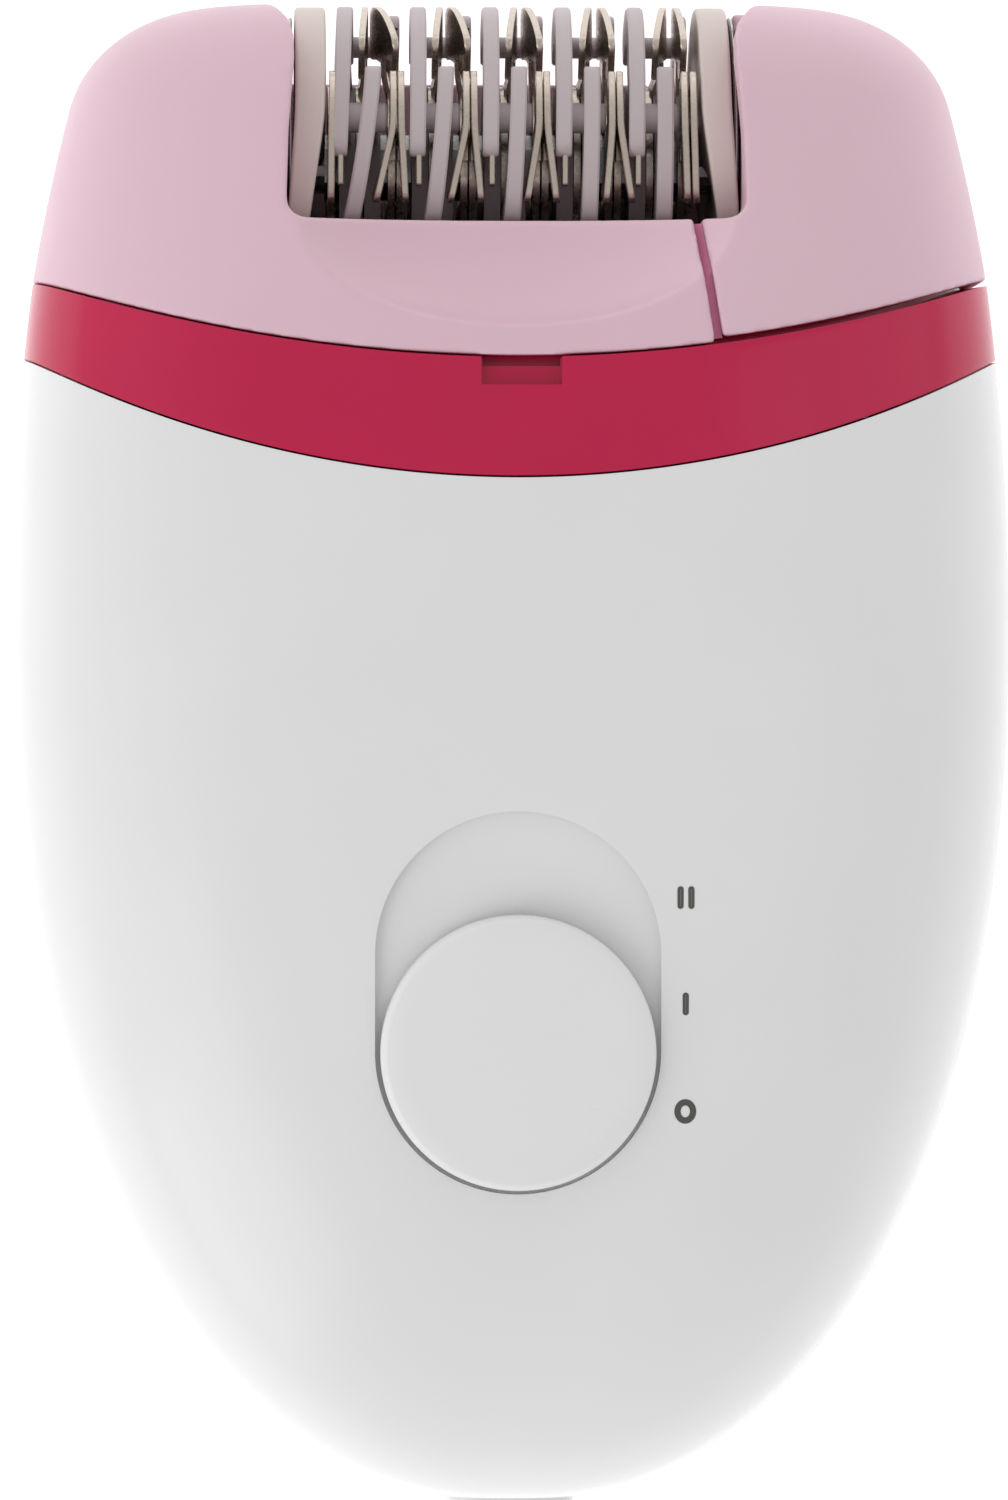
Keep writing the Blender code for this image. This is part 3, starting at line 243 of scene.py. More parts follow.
def prism(name, outline, low, high, material=None):
    """An outline in the XY plane between two heights."""
    ends = [[(x, y, z) for x, y in outline] for z in (low, high)]
    return closed(name, grid(ends, wrap=True, caps=True), material)


def turned(name, profile, steps=96, material=None):
    """A closed solid from (radius, height) points turned about Z; the first and last are on the axis."""
    bm = bmesh.new()
    rows = []
    for radius, height in profile[1:-1]:
        rows.append([
            bm.verts.new(Vector((radius * math.cos(t), radius * math.sin(t), height)) * MM)
            for t in (2 * math.pi * i / steps for i in range(steps))
        ])
    stitch(bm, rows, wrap=True)
    for row, (_, height) in ((rows[0], profile[0]), (rows[-1], profile[-1])):
        middle = bm.verts.new(Vector((0, 0, height)) * MM)
        for i in range(steps):
            bm.faces.new((row[i], row[(i + 1) % steps], middle))
    return closed(name, bm, material)


def rod_x(name, x_start, x_end, y, z, radius, steps=32, material=None):
    """A rod along X with slightly rounded ends."""
    edge = min(0.15, radius / 3)
    profile = [(0, x_start), (radius - edge, x_start), (radius, x_start + edge),
               (radius, x_end - edge), (radius - edge, x_end), (0, x_end)]
    obj = turned(name, profile, steps, material)
    obj.data.transform(Matrix.Translation(Vector((0, y, z)) * MM) @ Matrix.Rotation(math.pi / 2, 4, "Y"))
    return obj


def modify(obj, kind, **settings):
    step = obj.modifiers.new(kind.title(), kind)
    for name, value in settings.items():
        setattr(step, name, value)
    return step


def boolean(obj, operation, *others):
    for other in others:
        modify(obj, "BOOLEAN", operation=operation, object=other, solver="MANIFOLD")
    return obj


def bevel(obj, width, segments=3, angle=35):
    modify(obj, "BEVEL", width=width * MM, segments=segments, limit_method="ANGLE",
           angle_limit=math.radians(angle), use_clamp_overlap=True)
    return obj


def solidify(obj, thickness, offset=-1.0):
    modify(obj, "SOLIDIFY", thickness=thickness * MM, offset=offset, use_even_offset=offset != 0)
    return obj


def bake(obj, smooth_angle=38):
    """Applies the modifiers and smooths the shading up to that angle."""
    bpy.context.view_layer.update()
    graph = bpy.context.evaluated_depsgraph_get()
    mesh = bpy.data.meshes.new_from_object(obj.evaluated_get(graph))
    obj.modifiers.clear()
    obj.data = mesh
    mesh.polygons.foreach_set("use_smooth", [True] * len(mesh.polygons))
    mesh.set_sharp_from_angle(angle=math.radians(smooth_angle))
    return obj


def rounded(obj, voxel, passes):
    """Rebuilds the surface on a grid of that many millimetres and relaxes it, which rounds every edge."""
    obj.data.transform(Matrix.Scale(1 / MM, 4))
    obj.data.remesh_voxel_size = voxel
    bpy.context.view_layer.objects.active = obj
    bpy.ops.object.voxel_remesh()
    modify(obj, "SMOOTH", factor=0.5, iterations=passes)
    bake(obj, 180)
    obj.data.transform(Matrix.Scale(MM, 4))
    return obj


def discard(*objects):
    for obj in objects:
        bpy.data.objects.remove(obj, do_unlink=True)


def cut_and_bake(obj, cutters, edge=None, joins=(), smooth_angle=38):
    """Joins, then cuts, then rounds the edges, and removes the helpers."""
    boolean(obj, "UNION", *joins)
    boolean(obj, "DIFFERENCE", *cutters)
    if edge:
        bevel(obj, edge)
    bake(obj, smooth_angle)
    discard(*cutters, *joins)
    return obj


def finish_piece(obj, body, slot, *nodes):
    """The piece moves with a CAD body and stands for those CAD nodes."""
    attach(obj, body)
    if nodes:
        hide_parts(*nodes)
    return obj


# ---------------------------------------------------------------- outer form
def superellipse_fall(distance, reach, power):
    """Share of the full size that is left at a distance from the widest place."""
    return max(0.0, 1 - min(1.0, distance / reach) ** power) ** (1 / power)


def shoulder_inset(y, size):
    """How far the head's shoulders have turned in at that height, up to size at the top."""
    share = min(1.0, max(0.0, (y - HEAD_CORNER_Y) / (HEAD_TOP_Y - HEAD_CORNER_Y)))
    return size * (1 - (1 - share ** SHOULDER_POWER) ** (1 / SHOULDER_POWER))


def half_width(y, inset=0.0):
    if y <= WIDEST_Y:
        return (HALF_WIDTH - inset) * superellipse_fall(WIDEST_Y - y, HANDLE_DROP - inset, WIDTH_POWER)
    if y <= HEAD_FLANK_Y:
        rise = y - WIDEST_Y
        return HALF_WIDTH - inset - 0.00265 * rise ** 2
    rise = y - HEAD_FLANK_Y
    taper = 0.165 * rise
    return HEAD_FLANK_HALF_WIDTH - inset - taper - 0.0038 * rise ** 2 - shoulder_inset(y, HEAD_CORNER_WIDTH)


def front_depth(y, inset=0.0):
    if y <= WIDEST_Y:
        return (FRONT_DEPTH - inset) * superellipse_fall(WIDEST_Y - y, HANDLE_DROP - inset, DEPTH_POWER)
    rise = y - WIDEST_Y
    return FRONT_DEPTH - inset - 0.0032 * rise ** 2 - shoulder_inset(y, HEAD_CORNER_DEPTH)


def rear_depth(y, inset=0.0):
    if y <= WIDEST_Y:
        return (REAR_DEPTH - inset) * superellipse_fall(WIDEST_Y - y, HANDLE_DROP - inset, DEPTH_POWER)
    rise = y - WIDEST_Y
    return REAR_DEPTH - inset - 0.20 * rise + 0.0009 * rise ** 2 - shoulder_inset(y, HEAD_CORNER_DEPTH)


def settled(z, floor):
    """z where it is well above the floor, easing onto the floor below that."""
    rise = z - floor
    return floor + (rise + math.sqrt(rise ** 2 + 0.16)) / 2


def on_form(turn, y, inset=0.0):
    """The point of the outer form at that direction round the section; 0 is +X and 90 degrees the front."""
    c, s = math.cos(turn), math.sin(turn)
    reach = (abs(c) ** SECTION_POWER + abs(s) ** SECTION_POWER) ** (-1 / SECTION_POWER)
    depth = front_depth(y, inset) if s > 0 else rear_depth(y, inset)
    z = PARTING_Z + depth * reach * s
    return half_width(y, inset) * reach * c, y, settled(z, inset)


def front_z(x, y):
    """Height of the front face."""
    return PARTING_Z + front_depth(y) * (1 - (abs(x) / half_width(y)) ** SECTION_POWER) ** (1 / SECTION_POWER)


def seam_height(x, seam, shift=0.0):
    centre_y, radius = seam
    return centre_y + shift + radius - math.sqrt(radius ** 2 - x ** 2)


def seam_on_form(turn, seam, shift=0.0, inset=0.0):
    """Height at which that direction of the form meets the seam."""
    y = seam[0]
    for _ in range(12):
        y = seam_height(on_form(turn, y, inset)[0], seam, shift)
    return y


def span(low, high, count):
    return [low + (high - low) * i / count for i in range(count + 1)]


def solid_form(name, heights, inset, around=128):
    """The outer form drawn in by inset, as a closed solid through those heights."""
    turns = [2 * math.pi * i / around for i in range(around)]
    return closed(name, grid([[on_form(t, y, inset) for t in turns] for y in heights], wrap=True, caps=True))


def seam_slab(name, low, high, reach=45.0):
    """Everything between two seams, each (seam, shift) or None for no limit."""
    xs = span(-reach, reach, 60)
    lower = [(x, seam_height(x, *low) if low else -70.0) for x in xs]
    upper = [(x, seam_height(x, *high) if high else 70.0) for x in xs]
    return prism(name, [*lower, *reversed(upper)], -5, 55)


# ---------------------------------------------------------------- handle
def socket_outline(turn, grow=0.0):
    half_x, half_z = SOCKET_HALF_X + grow, SOCKET_HALF_Z + grow
    c, s = math.cos(turn), math.sin(turn)
    reach = (abs(c) ** 3.3 + abs(s) ** 3.3) ** (-1 / 3.3)
    return half_x * reach * c, half_z * reach * s


def shell_surface(name, first_turn, last_turn):
    """Half of the handle's skin, from the rim of the socket hole to the seam under the collar."""
    turns = span(first_turn, last_turn, 150)
    gap = SEAM_GAP / 2 * (1 if first_turn == 0 else -1)
    tops = [seam_on_form(t, HANDLE_SEAM, -SEAM_GAP) for t in turns]
    steepest = math.asin((WIDEST_Y - END_Y) / HANDLE_DROP)
    rows = []
    for grow in (0.15, 0.3):     # the rim round the socket; its outer row stays inside the form's end
        outline = [socket_outline(t, grow) for t in turns]
        rows.append([(x, END_Y, PARTING_Z + z) for x, z in outline])
    for share in span(1.0, 0.0, 64):
        y = WIDEST_Y - HANDLE_DROP * math.sin(steepest * share)
        rows.append([on_form(t, y) for t in turns])
    for share in span(0.0, 1.0, 16)[1:]:
        rows.append([on_form(t, WIDEST_Y + (top - WIDEST_Y) * share) for t, top in zip(turns, tops)])
    for row in rows:
        for column in (0, -1):
            x, y, _ = row[column]
            row[column] = (x, y, PARTING_Z + gap)
    obj = mesh_object(name, grid(rows), "white")
    obj.data.flip_normals()
    return obj


def knob_frame():
    return Matrix.Translation(Vector((0, KNOB_OFF_Y, RECESS_Z)) * MM) @ Matrix.Rotation(RECESS_TILT, 4, "X")


def oblong(radius, travel, steps=48):
    arc = [math.pi * i / steps for i in range(steps + 1)]
    upper = [(radius * math.cos(t), travel + radius * math.sin(t)) for t in arc]
    return upper + [(-radius * math.cos(t), -radius * math.sin(t)) for t in arc]


def in_knob_frame(obj):
    obj.data.transform(knob_frame())
    return obj


def front_shell():
    obj = solidify(shell_surface("front_shell_skin", 0, math.pi), WALL)
    pad = in_knob_frame(prism("recess_pad", oblong(KNOB_RADIUS + 1.6, KNOB_TRAVEL), -1.5, 0.3))
    well = in_knob_frame(prism("recess_well", oblong(KNOB_RADIUS + KNOB_GAP, KNOB_TRAVEL), 0.0, 6.0))
    slot = in_knob_frame(prism("stem_slot", oblong(2.45, KNOB_TRAVEL), -4.0, 2.0))
    cut_and_bake(obj, (well, slot), edge=0.28, joins=(pad,))
    finish_piece(obj, "handle", "shell_white", "front_shell")


def rear_shell():
    obj = solidify(shell_surface("rear_shell_skin", math.pi, 2 * math.pi), WALL)
    holes = []
    for x in (-SCREW_X, SCREW_X):
        profile = [(0, -2.0), (SCREW_HOLE_RADIUS, -2.0), (SCREW_HOLE_RADIUS, 12.0), (0, 12.0)]
        hole = turned("screw_hole", profile, 48)
        hole.data.transform(Matrix.Translation(Vector((x, SCREW_Y, 0)) * MM))
        holes.append(hole)
    cut_and_bake(obj, holes, edge=0.28)
    finish_piece(obj, "handle", "shell_white", "rear_shell")


def screw_posts():
    """Tubes in the rear shell that the case screws go up through."""
    bore, shank, outside = SCREW_HOLE_RADIUS, 1.5, 3.9
    low, ledge, high = 2.2, 11.0, 20.0
    profile = [(bore, low), (bore, ledge), (shank, ledge), (shank, high), (outside, high), (outside, low)]
    turns = span(0, 2 * math.pi, 48)[:-1]
    for label, x in (("left", -SCREW_X), ("right", SCREW_X)):
        bm = bmesh.new()
        rings = [[(x + r * math.cos(t), SCREW_Y + r * math.sin(t), z) for t in turns] for r, z in profile]
        rows = [[bm.verts.new(Vector(point) * MM) for point in points] for points in rings]
        stitch(bm, [*rows, rows[0]], wrap=True)
        obj = bake(bevel(closed(f"rear_post_{label}", bm, "white"), 0.15))
        finish_piece(obj, "handle", "shell_white")


def knob():
    """A thin round disc with a soft edge and a hardly domed face."""
    r, soft = KNOB_RADIUS, 0.75
    rim = [(r - soft + soft * math.sin(a), 1.55 + soft * math.cos(a)) for a in span(0.35, math.pi / 2, 8)]
    profile = [(0, 2.36), (r * 0.5, 2.345), (r * 0.8, 2.315), *rim, (r, 0.5), (r - 0.15, 0.35), (0, 0.35)]
    obj = in_knob_frame(bake(turned("slide_knob_cap", profile, 144, "knob"), 60))
    stem = prism("slide_knob_stem", [(-1.6, -1.6), (1.6, -1.6), (1.6, 1.6), (-1.6, 1.6)], -1.8, 0.5, "knob")
    bake(bevel(in_knob_frame(stem), 0.15))
    finish_piece(obj, "switch", "shell_white", "slide_knob")
    finish_piece(stem, "switch", "shell_white")


MARK_X, MARK_LINE, MARK_HEIGHT = 11.42, 0.43, 1.55
MARK_PLACES = {"two": -9.7, "one": -16.95, "off": -24.3}   # heights of the marks beside the recess


def mark(name, outlines):
    """Printed ink: outlines in the XY plane, each laid on the front face as a skin of ink."""
    bm = bmesh.new()
    for rows in outlines:
        vertex_rows = [
            [bm.verts.new(Vector((x, y, front_z(x, y) + 0.012)) * MM) for x, y in row] for row in rows
        ]
        stitch(bm, vertex_rows, wrap=True)
    obj = bake(solidify(mesh_object(name, bm, "print"), 0.02, 0.0))
    finish_piece(obj, "handle", "black_plastic")


def bar(x, y):
    """A short upright bar with round ends, as rings of points from its middle line to its edge."""
    turns = span(0, 2 * math.pi, 32)[:-1]
    reach = (MARK_HEIGHT - MARK_LINE) / 2
    return [[(x + r * math.cos(t), y + math.copysign(reach, math.sin(t)) + r * math.sin(t)) for t in turns]
            for r in (0.01, MARK_LINE / 2)]


def ring(x, y, half_x, half_y):
    """An oval line, as its inner and its outer ring of points."""
    turns = span(0, 2 * math.pi, 40)[:-1]
    return [[(x + a * math.cos(t), y + b * math.sin(t)) for t in turns]
            for a, b in ((half_x - MARK_LINE, half_y - MARK_LINE), (half_x, half_y))]


def marks():
    mark("speed_mark_two", [bar(MARK_X + side * 0.37, MARK_PLACES["two"]) for side in (-1, 1)])
    mark("speed_mark_one", [bar(MARK_X, MARK_PLACES["one"])])
    mark("speed_mark_off", [ring(MARK_X, MARK_PLACES["off"], 0.75, 0.84)])


def socket():
    """The two-pin inlet's cup, with rounded lips."""
    turns = span(0, 2 * math.pi, 96)[:-1]
    deep = SOCKET_DEPTH
    outer_side, inner_side = [(0.0, deep), (0.0, 0.35)], [(-1.0, 0.35), (-1.0, deep - 2.0)]
    lip = [(-0.10, 0.1), (-0.35, 0.0), (-0.65, 0.0), (-0.90, 0.1)]
    rows = []
    for grow, depth in [*outer_side, *lip, *inner_side]:
        outline = [socket_outline(t, grow) for t in turns]
        rows.append([(x, SOCKET_MOUTH_Y + depth, PARTING_Z + z) for x, z in outline])
    obj = bake(closed("dc_socket_cup", grid(rows, wrap=True, caps=True), "white"))
    finish_piece(obj, "handle", "shell_white", "dc_socket")


# ---------------------------------------------------------------- collar
def collar():
    """The visible band with its notch, and inside it the deck with the lip that the head slips over."""
    turns = span(0, 2 * math.pi, 300)[:-1]
    half_x, half_y = BUTTON_WINDOW
    lows = [seam_on_form(t, HANDLE_SEAM) for t in turns]
    highs = [seam_on_form(t, HEAD_SEAM) for t in turns]
    rows = [[on_form(t, low + (high - low) * share) for t, low, high in zip(turns, lows, highs)]
            for share in span(0, 1, 12)]
    obj = mesh_object("collar_band", grid(rows, wrap=True), "magenta")
    obj.data.flip_normals()
    solidify(obj, LIP_INSET + 0.1)
    notch = box("notch", (-2.5, HEAD_SEAM[0] - 1.9, 38.5), (3.0, HEAD_SEAM[0] + 2, 43))
    slot = box("notch_slot", (-2.4, HEAD_SEAM[0] - 0.6, 37.0), (2.9, HEAD_SEAM[0] + 2, 43))
    window = box("window", (-half_x, BUTTON_Y - half_y, -3), (half_x, BUTTON_Y + half_y, 5))
    cut_and_bake(obj, (notch, slot, window), edge=0.3)
    finish_piece(obj, "handle", "collar_magenta", "collar_ring")

    heights = span(DECK_LOW, 37.0, 12)
    deck = solid_form("collar_deck", heights, LIP_INSET)
    deck.data.materials.append(MATERIALS["magenta"])
    pocket = solid_form("pocket", span(DECK_TOP, 38.0, 12), LIP_INSET + LIP_WALL)
    above = seam_slab("above_lip", (HEAD_SEAM, LIP_RISE), None)
    gears = box("gear_bay", (14.7, 20, 11.0), (28.4, 30, 29.0))
    latch = box("latch_gap", (-2.8, 20.0, 4.8), (2.8, 27.5, 9.5))
    button = box("button_window", (-half_x, BUTTON_Y - half_y, -3), (half_x, BUTTON_Y + half_y, 9.5))
    seat = box("spring_seat", (-half_x, 20.8, 9.8), (half_x, 26.0, 11.2))
    cut_and_bake(deck, (pocket, above, gears, latch, button), edge=0.2, joins=(seat,))
    finish_piece(deck, "handle", "collar_magenta")


# ---------------------------------------------------------------- head
COVER_SLIT = 0.6
COVER_LIFT = 0.3         # the side cover stands this much higher over the collar than the housing
DISH_CENTRE, DISH_RADII = (0.0, 38.0, 41.2), (17.2, 9.0, 8.15)
SLIT_TOP, SLIT_BOTTOM = (9.6, 55.0), (15.1, 20.0)
VOXEL, SMOOTHING = 0.31, 5


def head_heights(top):
    """Section heights, closer together towards the top."""
    corner = [HEAD_CORNER_Y + (top - HEAD_CORNER_Y) * math.sin(a) for a in span(0, math.pi / 2, 22)[1:]]
    return span(25.0, HEAD_CORNER_Y, 22) + corner


def front_dish(name, grow=0.0):
    """The hollow in the head's front below the barrel."""
    bm = bmesh.new()
    bmesh.ops.create_uvsphere(bm, u_segments=160, v_segments=80, radius=MM)
    bmesh.ops.scale(bm, verts=bm.verts, vec=[r + grow for r in DISH_RADII])
    bmesh.ops.translate(bm, verts=bm.verts, vec=Vector(DISH_CENTRE) * MM)
    return closed(name, bm)


def mouth_outline():
    """The opening seen from the front: a little wider at the bottom, rounded corners, flared at the top."""
    corner = 1.3
    arc = [(MOUTH_HALF - corner + corner * math.sin(a), MOUTH_FRONT_Y + corner - corner * math.cos(a))
           for a in span(0, math.pi / 2, 6)]
    side = [(MOUTH_HALF - 0.15, 43.0), (15.2, 48.0)]
    flare = [(15.25, 49.6), (15.6, 50.8), (16.4, 51.8), (17.6, 52.6), (17.6, 60.0)]
    right = [*arc, *side, *flare]
    return right + [(-x, y) for x, y in reversed(right)]


def slit_side(name, low_shift, high_shift):
    """Everything between two lines along the slit, that far to its left or right."""
    (bottom_x, bottom_y), (top_x, top_y) = SLIT_BOTTOM, SLIT_TOP
    outline = [(bottom_x + low_shift, bottom_y), (bottom_x + high_shift, bottom_y),
               (top_x + high_shift, top_y), (top_x + low_shift, top_y)]
    return prism(name, outline, -5, 50)


def head_hollow():
    """Room inside the two pillars."""
    hollow = solid_form("hollow", [20.0, *head_heights(HEAD_TOP_Y - HEAD_WALL)], HEAD_WALL, 96)
    middle = box("hollow_middle", (-MOUTH_HALF - 1.6, 10, -5), (MOUTH_HALF + 1.6, 60, 50))
    return cut_and_bake(hollow, (middle,))


def lip_room():
    """Room for the collar's lip inside the foot of the head."""
    lip = solid_form("lip_room", span(20.0, 37.0, 12), LIP_INSET - 0.25, 96)
    return cut_and_bake(lip, (seam_slab("above_lip_room", (HEAD_SEAM, LIP_RISE + 0.4), None),))


def dish_below_mouth():
    dish = front_dish("dish")
    limit = box("dish_limit", (-20, 20, 10), (20, MOUTH_FRONT_Y + 1.5, 90))
    boolean(dish, "INTERSECT", limit)
    bake(dish)
    discard(limit)
    return dish


def head_part(name, keep_right, node):
    """The housing left of the slit, or the side cover right of it."""
    obj = solid_form(name, head_heights(HEAD_TOP_Y), 0.0, 160)
    obj.data.materials.append(MATERIALS["pink"])
    away = (-90.0, COVER_SLIT / 2) if keep_right else (-COVER_SLIT / 2, 90)
    cutters = [
        seam_slab("below_head", None, (HEAD_SEAM, SEAM_GAP + (COVER_LIFT if keep_right else 0))),
        head_hollow(),
        lip_room(),
        prism("mouth", mouth_outline(), AXLE_Z, 50),
        dish_below_mouth(),
        rod_x("bay", -MOUTH_HALF, MOUTH_HALF, AXLE_Y, AXLE_Z, BARREL_RADIUS + 1.0, 128),
        box("mouth_rear", (-MOUTH_HALF, MOUTH_REAR_Y, -5), (MOUTH_HALF, 60, AXLE_Z + 1)),
        box("base_bay", (-MOUTH_HALF, 20, AXLE_Z - 12.0), (MOUTH_HALF, 33.5, AXLE_Z + 10.6)),
        box("gear_bay", (14.2, 20, 10.4), (29.0, 31.2, 29.6)),
        rod_x("bearing_seat", -20, 20, AXLE_Y, AXLE_Z, 3.5),
        slit_side("other_side", *away),
    ]
    boolean(obj, "DIFFERENCE", *cutters)
    bake(obj)
    discard(*cutters)
    rounded(obj, VOXEL, SMOOTHING)
    finish_piece(obj, "head", "head_pink", node)


def slit_tongue():
    """The darker wall that shows just under the surface in the slit beside the cover."""
    obj = solid_form("slit_tongue", span(28.3, MOUTH_FRONT_Y - 0.3, 16), 0.9, 160)
    obj.data.materials.append(MATERIALS["tongue"])
    keep = slit_side("tongue_keep", -COVER_SLIT / 2 + 0.02, COVER_SLIT / 2 - 0.02)
    front = box("tongue_front", (5, 20, 34.5), (20, 50, 50))
    boolean(obj, "INTERSECT", keep, front)
    below = seam_slab("tongue_below", None, (HEAD_SEAM, 0.4))
    dish = front_dish("tongue_dish", 0.8)
    boolean(obj, "DIFFERENCE", below, dish)
    bake(obj)
    discard(keep, front, below, dish)
    finish_piece(obj, "head", "head_pink")


LEAN_START = 3.3         # above the axle; the guide rings start to lean below this height


def guide_ring(side, label):
    """A fixed plate at the barrel's end; both faces lean outwards below, towards the handle."""
    top_inner, top_outer, rim, soft = 12.95, 15.1, 11.25, 0.3
    corner = [(soft * (1 - math.sin(a)), rim - soft * (1 - math.cos(a))) for a in span(0, math.pi / 2, 5)]
    inner_edge = [(top_inner + across, radius) for across, radius in reversed(corner)]
    outer_edge = [(top_outer - across, radius) for across, radius in corner]
    inner_face, outer_face = [(top_inner, 2.6), (top_inner, 6.0)], [(top_outer, 6.0), (top_outer, 2.6)]
    loop = [*inner_face, *inner_edge, *outer_edge, *outer_face]
    turns = span(0, 2 * math.pi, 160)[:-1]
    rows = []
    for x, radius in loop:
        share = (x - top_inner) / (top_outer - top_inner)
        row = []
        for t in turns:
            drop = LEAN_START - BARREL_RADIUS * math.cos(t)
            eased = (drop + math.sqrt(drop ** 2 + 2.0)) / 2
            lean = min(1.15, 0.15 * eased) * (1 - share) + min(0.5, 0.07 * eased) * share
            row.append((side * (x + lean), AXLE_Y + radius * math.cos(t), AXLE_Z + radius * math.sin(t)))
        rows.append(row)
    obj = bake(closed(f"guide_plate_{label}", grid([*rows, rows[0]], wrap=True), "guide"), 50)
    finish_piece(obj, "head", "inner_lilac", f"guide_ring_{label}")


def guide_shim(side, label):
    """Thin steel washer between the guide plate and the wall of the opening."""
    low, high = (15.3, 15.55) if side > 0 else (-15.55, -15.3)
    obj = bake(rod_x(f"guide_shim_{label}", low, high, AXLE_Y, AXLE_Z, 10.6, 128, "steel"))
    finish_piece(obj, "head", "axle_steel")


# ---------------------------------------------------------------- barrel
BLADE = 0.46
UPPER_LOBE, LOWER_LOBE = (-3.0, 20.0, 43.0), (55.0, 79.0, 107.0)    # start, bend and end of a lobe
# places along the axle within a station, from its plate A
LEFT_DISC, PLATE_B, MIDDLE_DISC, RIGHT_DISC, PLATE_E = 0.85, 1.75, 3.06, 3.67, 3.365
LAST_DISC_REACH = 12.64  # the last disc flares no further than this, clear of the guide ring


def station_x(k):
    """Place along the axle of a station, which is where its lifter plate A stands."""
    return FIRST_STATION_X + STATION_PITCH * k


def round_axle(x, radius, turn):
    """The point at that distance and direction from the barrel's axis, in metres."""
    return Vector((x, AXLE_Y + radius * math.cos(turn), AXLE_Z + radius * math.sin(turn))) * MM


def bent(angle, span_, places):
    """Place along the axle at an angle of a lobe with (start, bend, end) places, eased round the bend."""
    (start, bend, end), (at_start, at_bend, at_end) = span_, places
    before, after = (at_bend - at_start) / (bend - start), (at_end - at_bend) / (end - bend)
    past = angle - bend
    eased = math.sqrt(past ** 2 + 9.0) - 3.0
    return at_bend + past * (before + after) / 2 + eased * (after - before) / 2


def strip(bm, start, end, radii, x_at, thickness, corner, edge, steps=26):
    """A strip of sheet from one angle to another, with rounded corners and a chamfer along every edge."""
    inner, outer = radii
    length = math.radians(end - start) * outer
    rows = []
    for i in range(steps + 1):
        share = (1 - math.cos(math.pi * i / steps)) / 2
        from_end = min(share, 1 - share) * length
        cut = corner - math.sqrt(max(0.0, corner ** 2 - max(0.0, corner - from_end) ** 2))
        half = thickness / 2 - max(0.0, edge - from_end)
        low, high = inner + cut, outer - cut
        angle = start + (end - start) * share
        turn = math.radians(angle)
        section = [(-half + edge, low), (half - edge, low), (half, low + edge), (half, high - edge),
                   (half - edge, high), (-half + edge, high), (-half, high - edge), (-half, low + edge)]
        x = x_at(angle)
        rows.append([bm.verts.new(round_axle(x + dx, r, turn)) for dx, r in section])
    stitch(bm, rows, wrap=True)
    bm.faces.new(rows[0])
    bm.faces.new(rows[-1])


def hub(bm, x, thickness, inner=2.7, outer=5.7, steps=48):
    """A washer on the axle."""
    turns = span(0, 2 * math.pi, steps)[:-1]
    left, right = x - thickness / 2, x + thickness / 2
    loop = [(left, inner), (left, outer), (right, outer), (right, inner)]
    rows = [[bm.verts.new(round_axle(at, r, t)) for t in turns] for at, r in loop]
    stitch(bm, [*rows, rows[0]], wrap=True)


def neck(bm, x_hub, x_lobe, middle, thickness, outer=8.3, half=7.0, inner=4.1):
    """The spoke between hub and lobe; it swings from one place along the axle to the other."""
    across = math.radians(half)
    rows = []
    for r in span(inner, outer, 8):
        share = min(1.0, max(0.0, (r - 4.5) / 3.0))
        x = x_hub + (x_lobe - x_hub) * share ** 2 * (3 - 2 * share)
        corners = ((-1, -1), (1, -1), (1, 1), (-1, 1))
        rows.append([
            bm.verts.new(round_axle(x + dx * thickness / 2, r, math.radians(middle) + dt * across))
            for dx, dt in corners
        ])
    stitch(bm, rows, wrap=True)
    bm.faces.new(rows[0])
    bm.faces.new(rows[-1])


def tweezer_disc(label, hub_x, lobes, node):
    """Spring-steel disc with two opposite lobes for each entry of lobes: span to places along the axle."""
    bm = bmesh.new()
    hub(bm, hub_x, BLADE)
    for span_, places in lobes.items():
        for half_turn in (0, 180):
            def at(angle, half_turn=half_turn, span_=span_, places=places):
                return hub_x + bent(angle - half_turn, span_, places)

            strip(bm, span_[0] + half_turn, span_[2] + half_turn, (7.6, BARREL_RADIUS), at, BLADE, 0.9, 0.06)
            neck(bm, hub_x, hub_x + places[1], span_[1] + half_turn, BLADE * 0.9, half=11.0)
    finish_piece(bake(closed(f"tweezer_blade_{label}", bm, "blade")), "barrel", "blade_steel", node)


def left_flare(k):
    """How far a station's middle disc spreads to the left at its lower end."""
    return -1.25 + 0.09 * k ** 2


def right_flare(k):
    """How far a station's right disc spreads to the right at its lower end."""
    return min(0.31 + 0.18 * k, LAST_DISC_REACH - station_x(k) - RIGHT_DISC)


def tweezer_discs():
    """The discs fan out from the middle of the barrel, a little more at each station."""
    end_x = station_x(-1) + RIGHT_DISC + 0.28
    tweezer_disc("end", end_x, {LOWER_LOBE: (0.05, -0.05, -0.1)}, "tweezer_disc_end")
    for k in range(STATIONS):
        x = station_x(k)
        upper_left = {UPPER_LOBE: (0.45 + 0.2 * k, 0.35 + 0.12 * k, 0.1 + 0.05 * k)}
        tweezer_disc(f"{k + 1}_left", x + LEFT_DISC, upper_left, f"tweezer_disc_{k + 1}_left")
        middle = {
            UPPER_LOBE: (-1.2 + 0.25 * k, -0.5 + 0.1 * k, 0.3 - 0.05 * k),
            LOWER_LOBE: (0.0, 0.0, left_flare(k)),
        }
        tweezer_disc(f"{k + 1}_middle", x + MIDDLE_DISC, middle, f"tweezer_disc_{k + 1}_middle")
        right = {LOWER_LOBE: (0.0, 0.0, right_flare(k))}
        tweezer_disc(f"{k + 1}_right", x + RIGHT_DISC, right, f"tweezer_disc_{k + 1}_right")


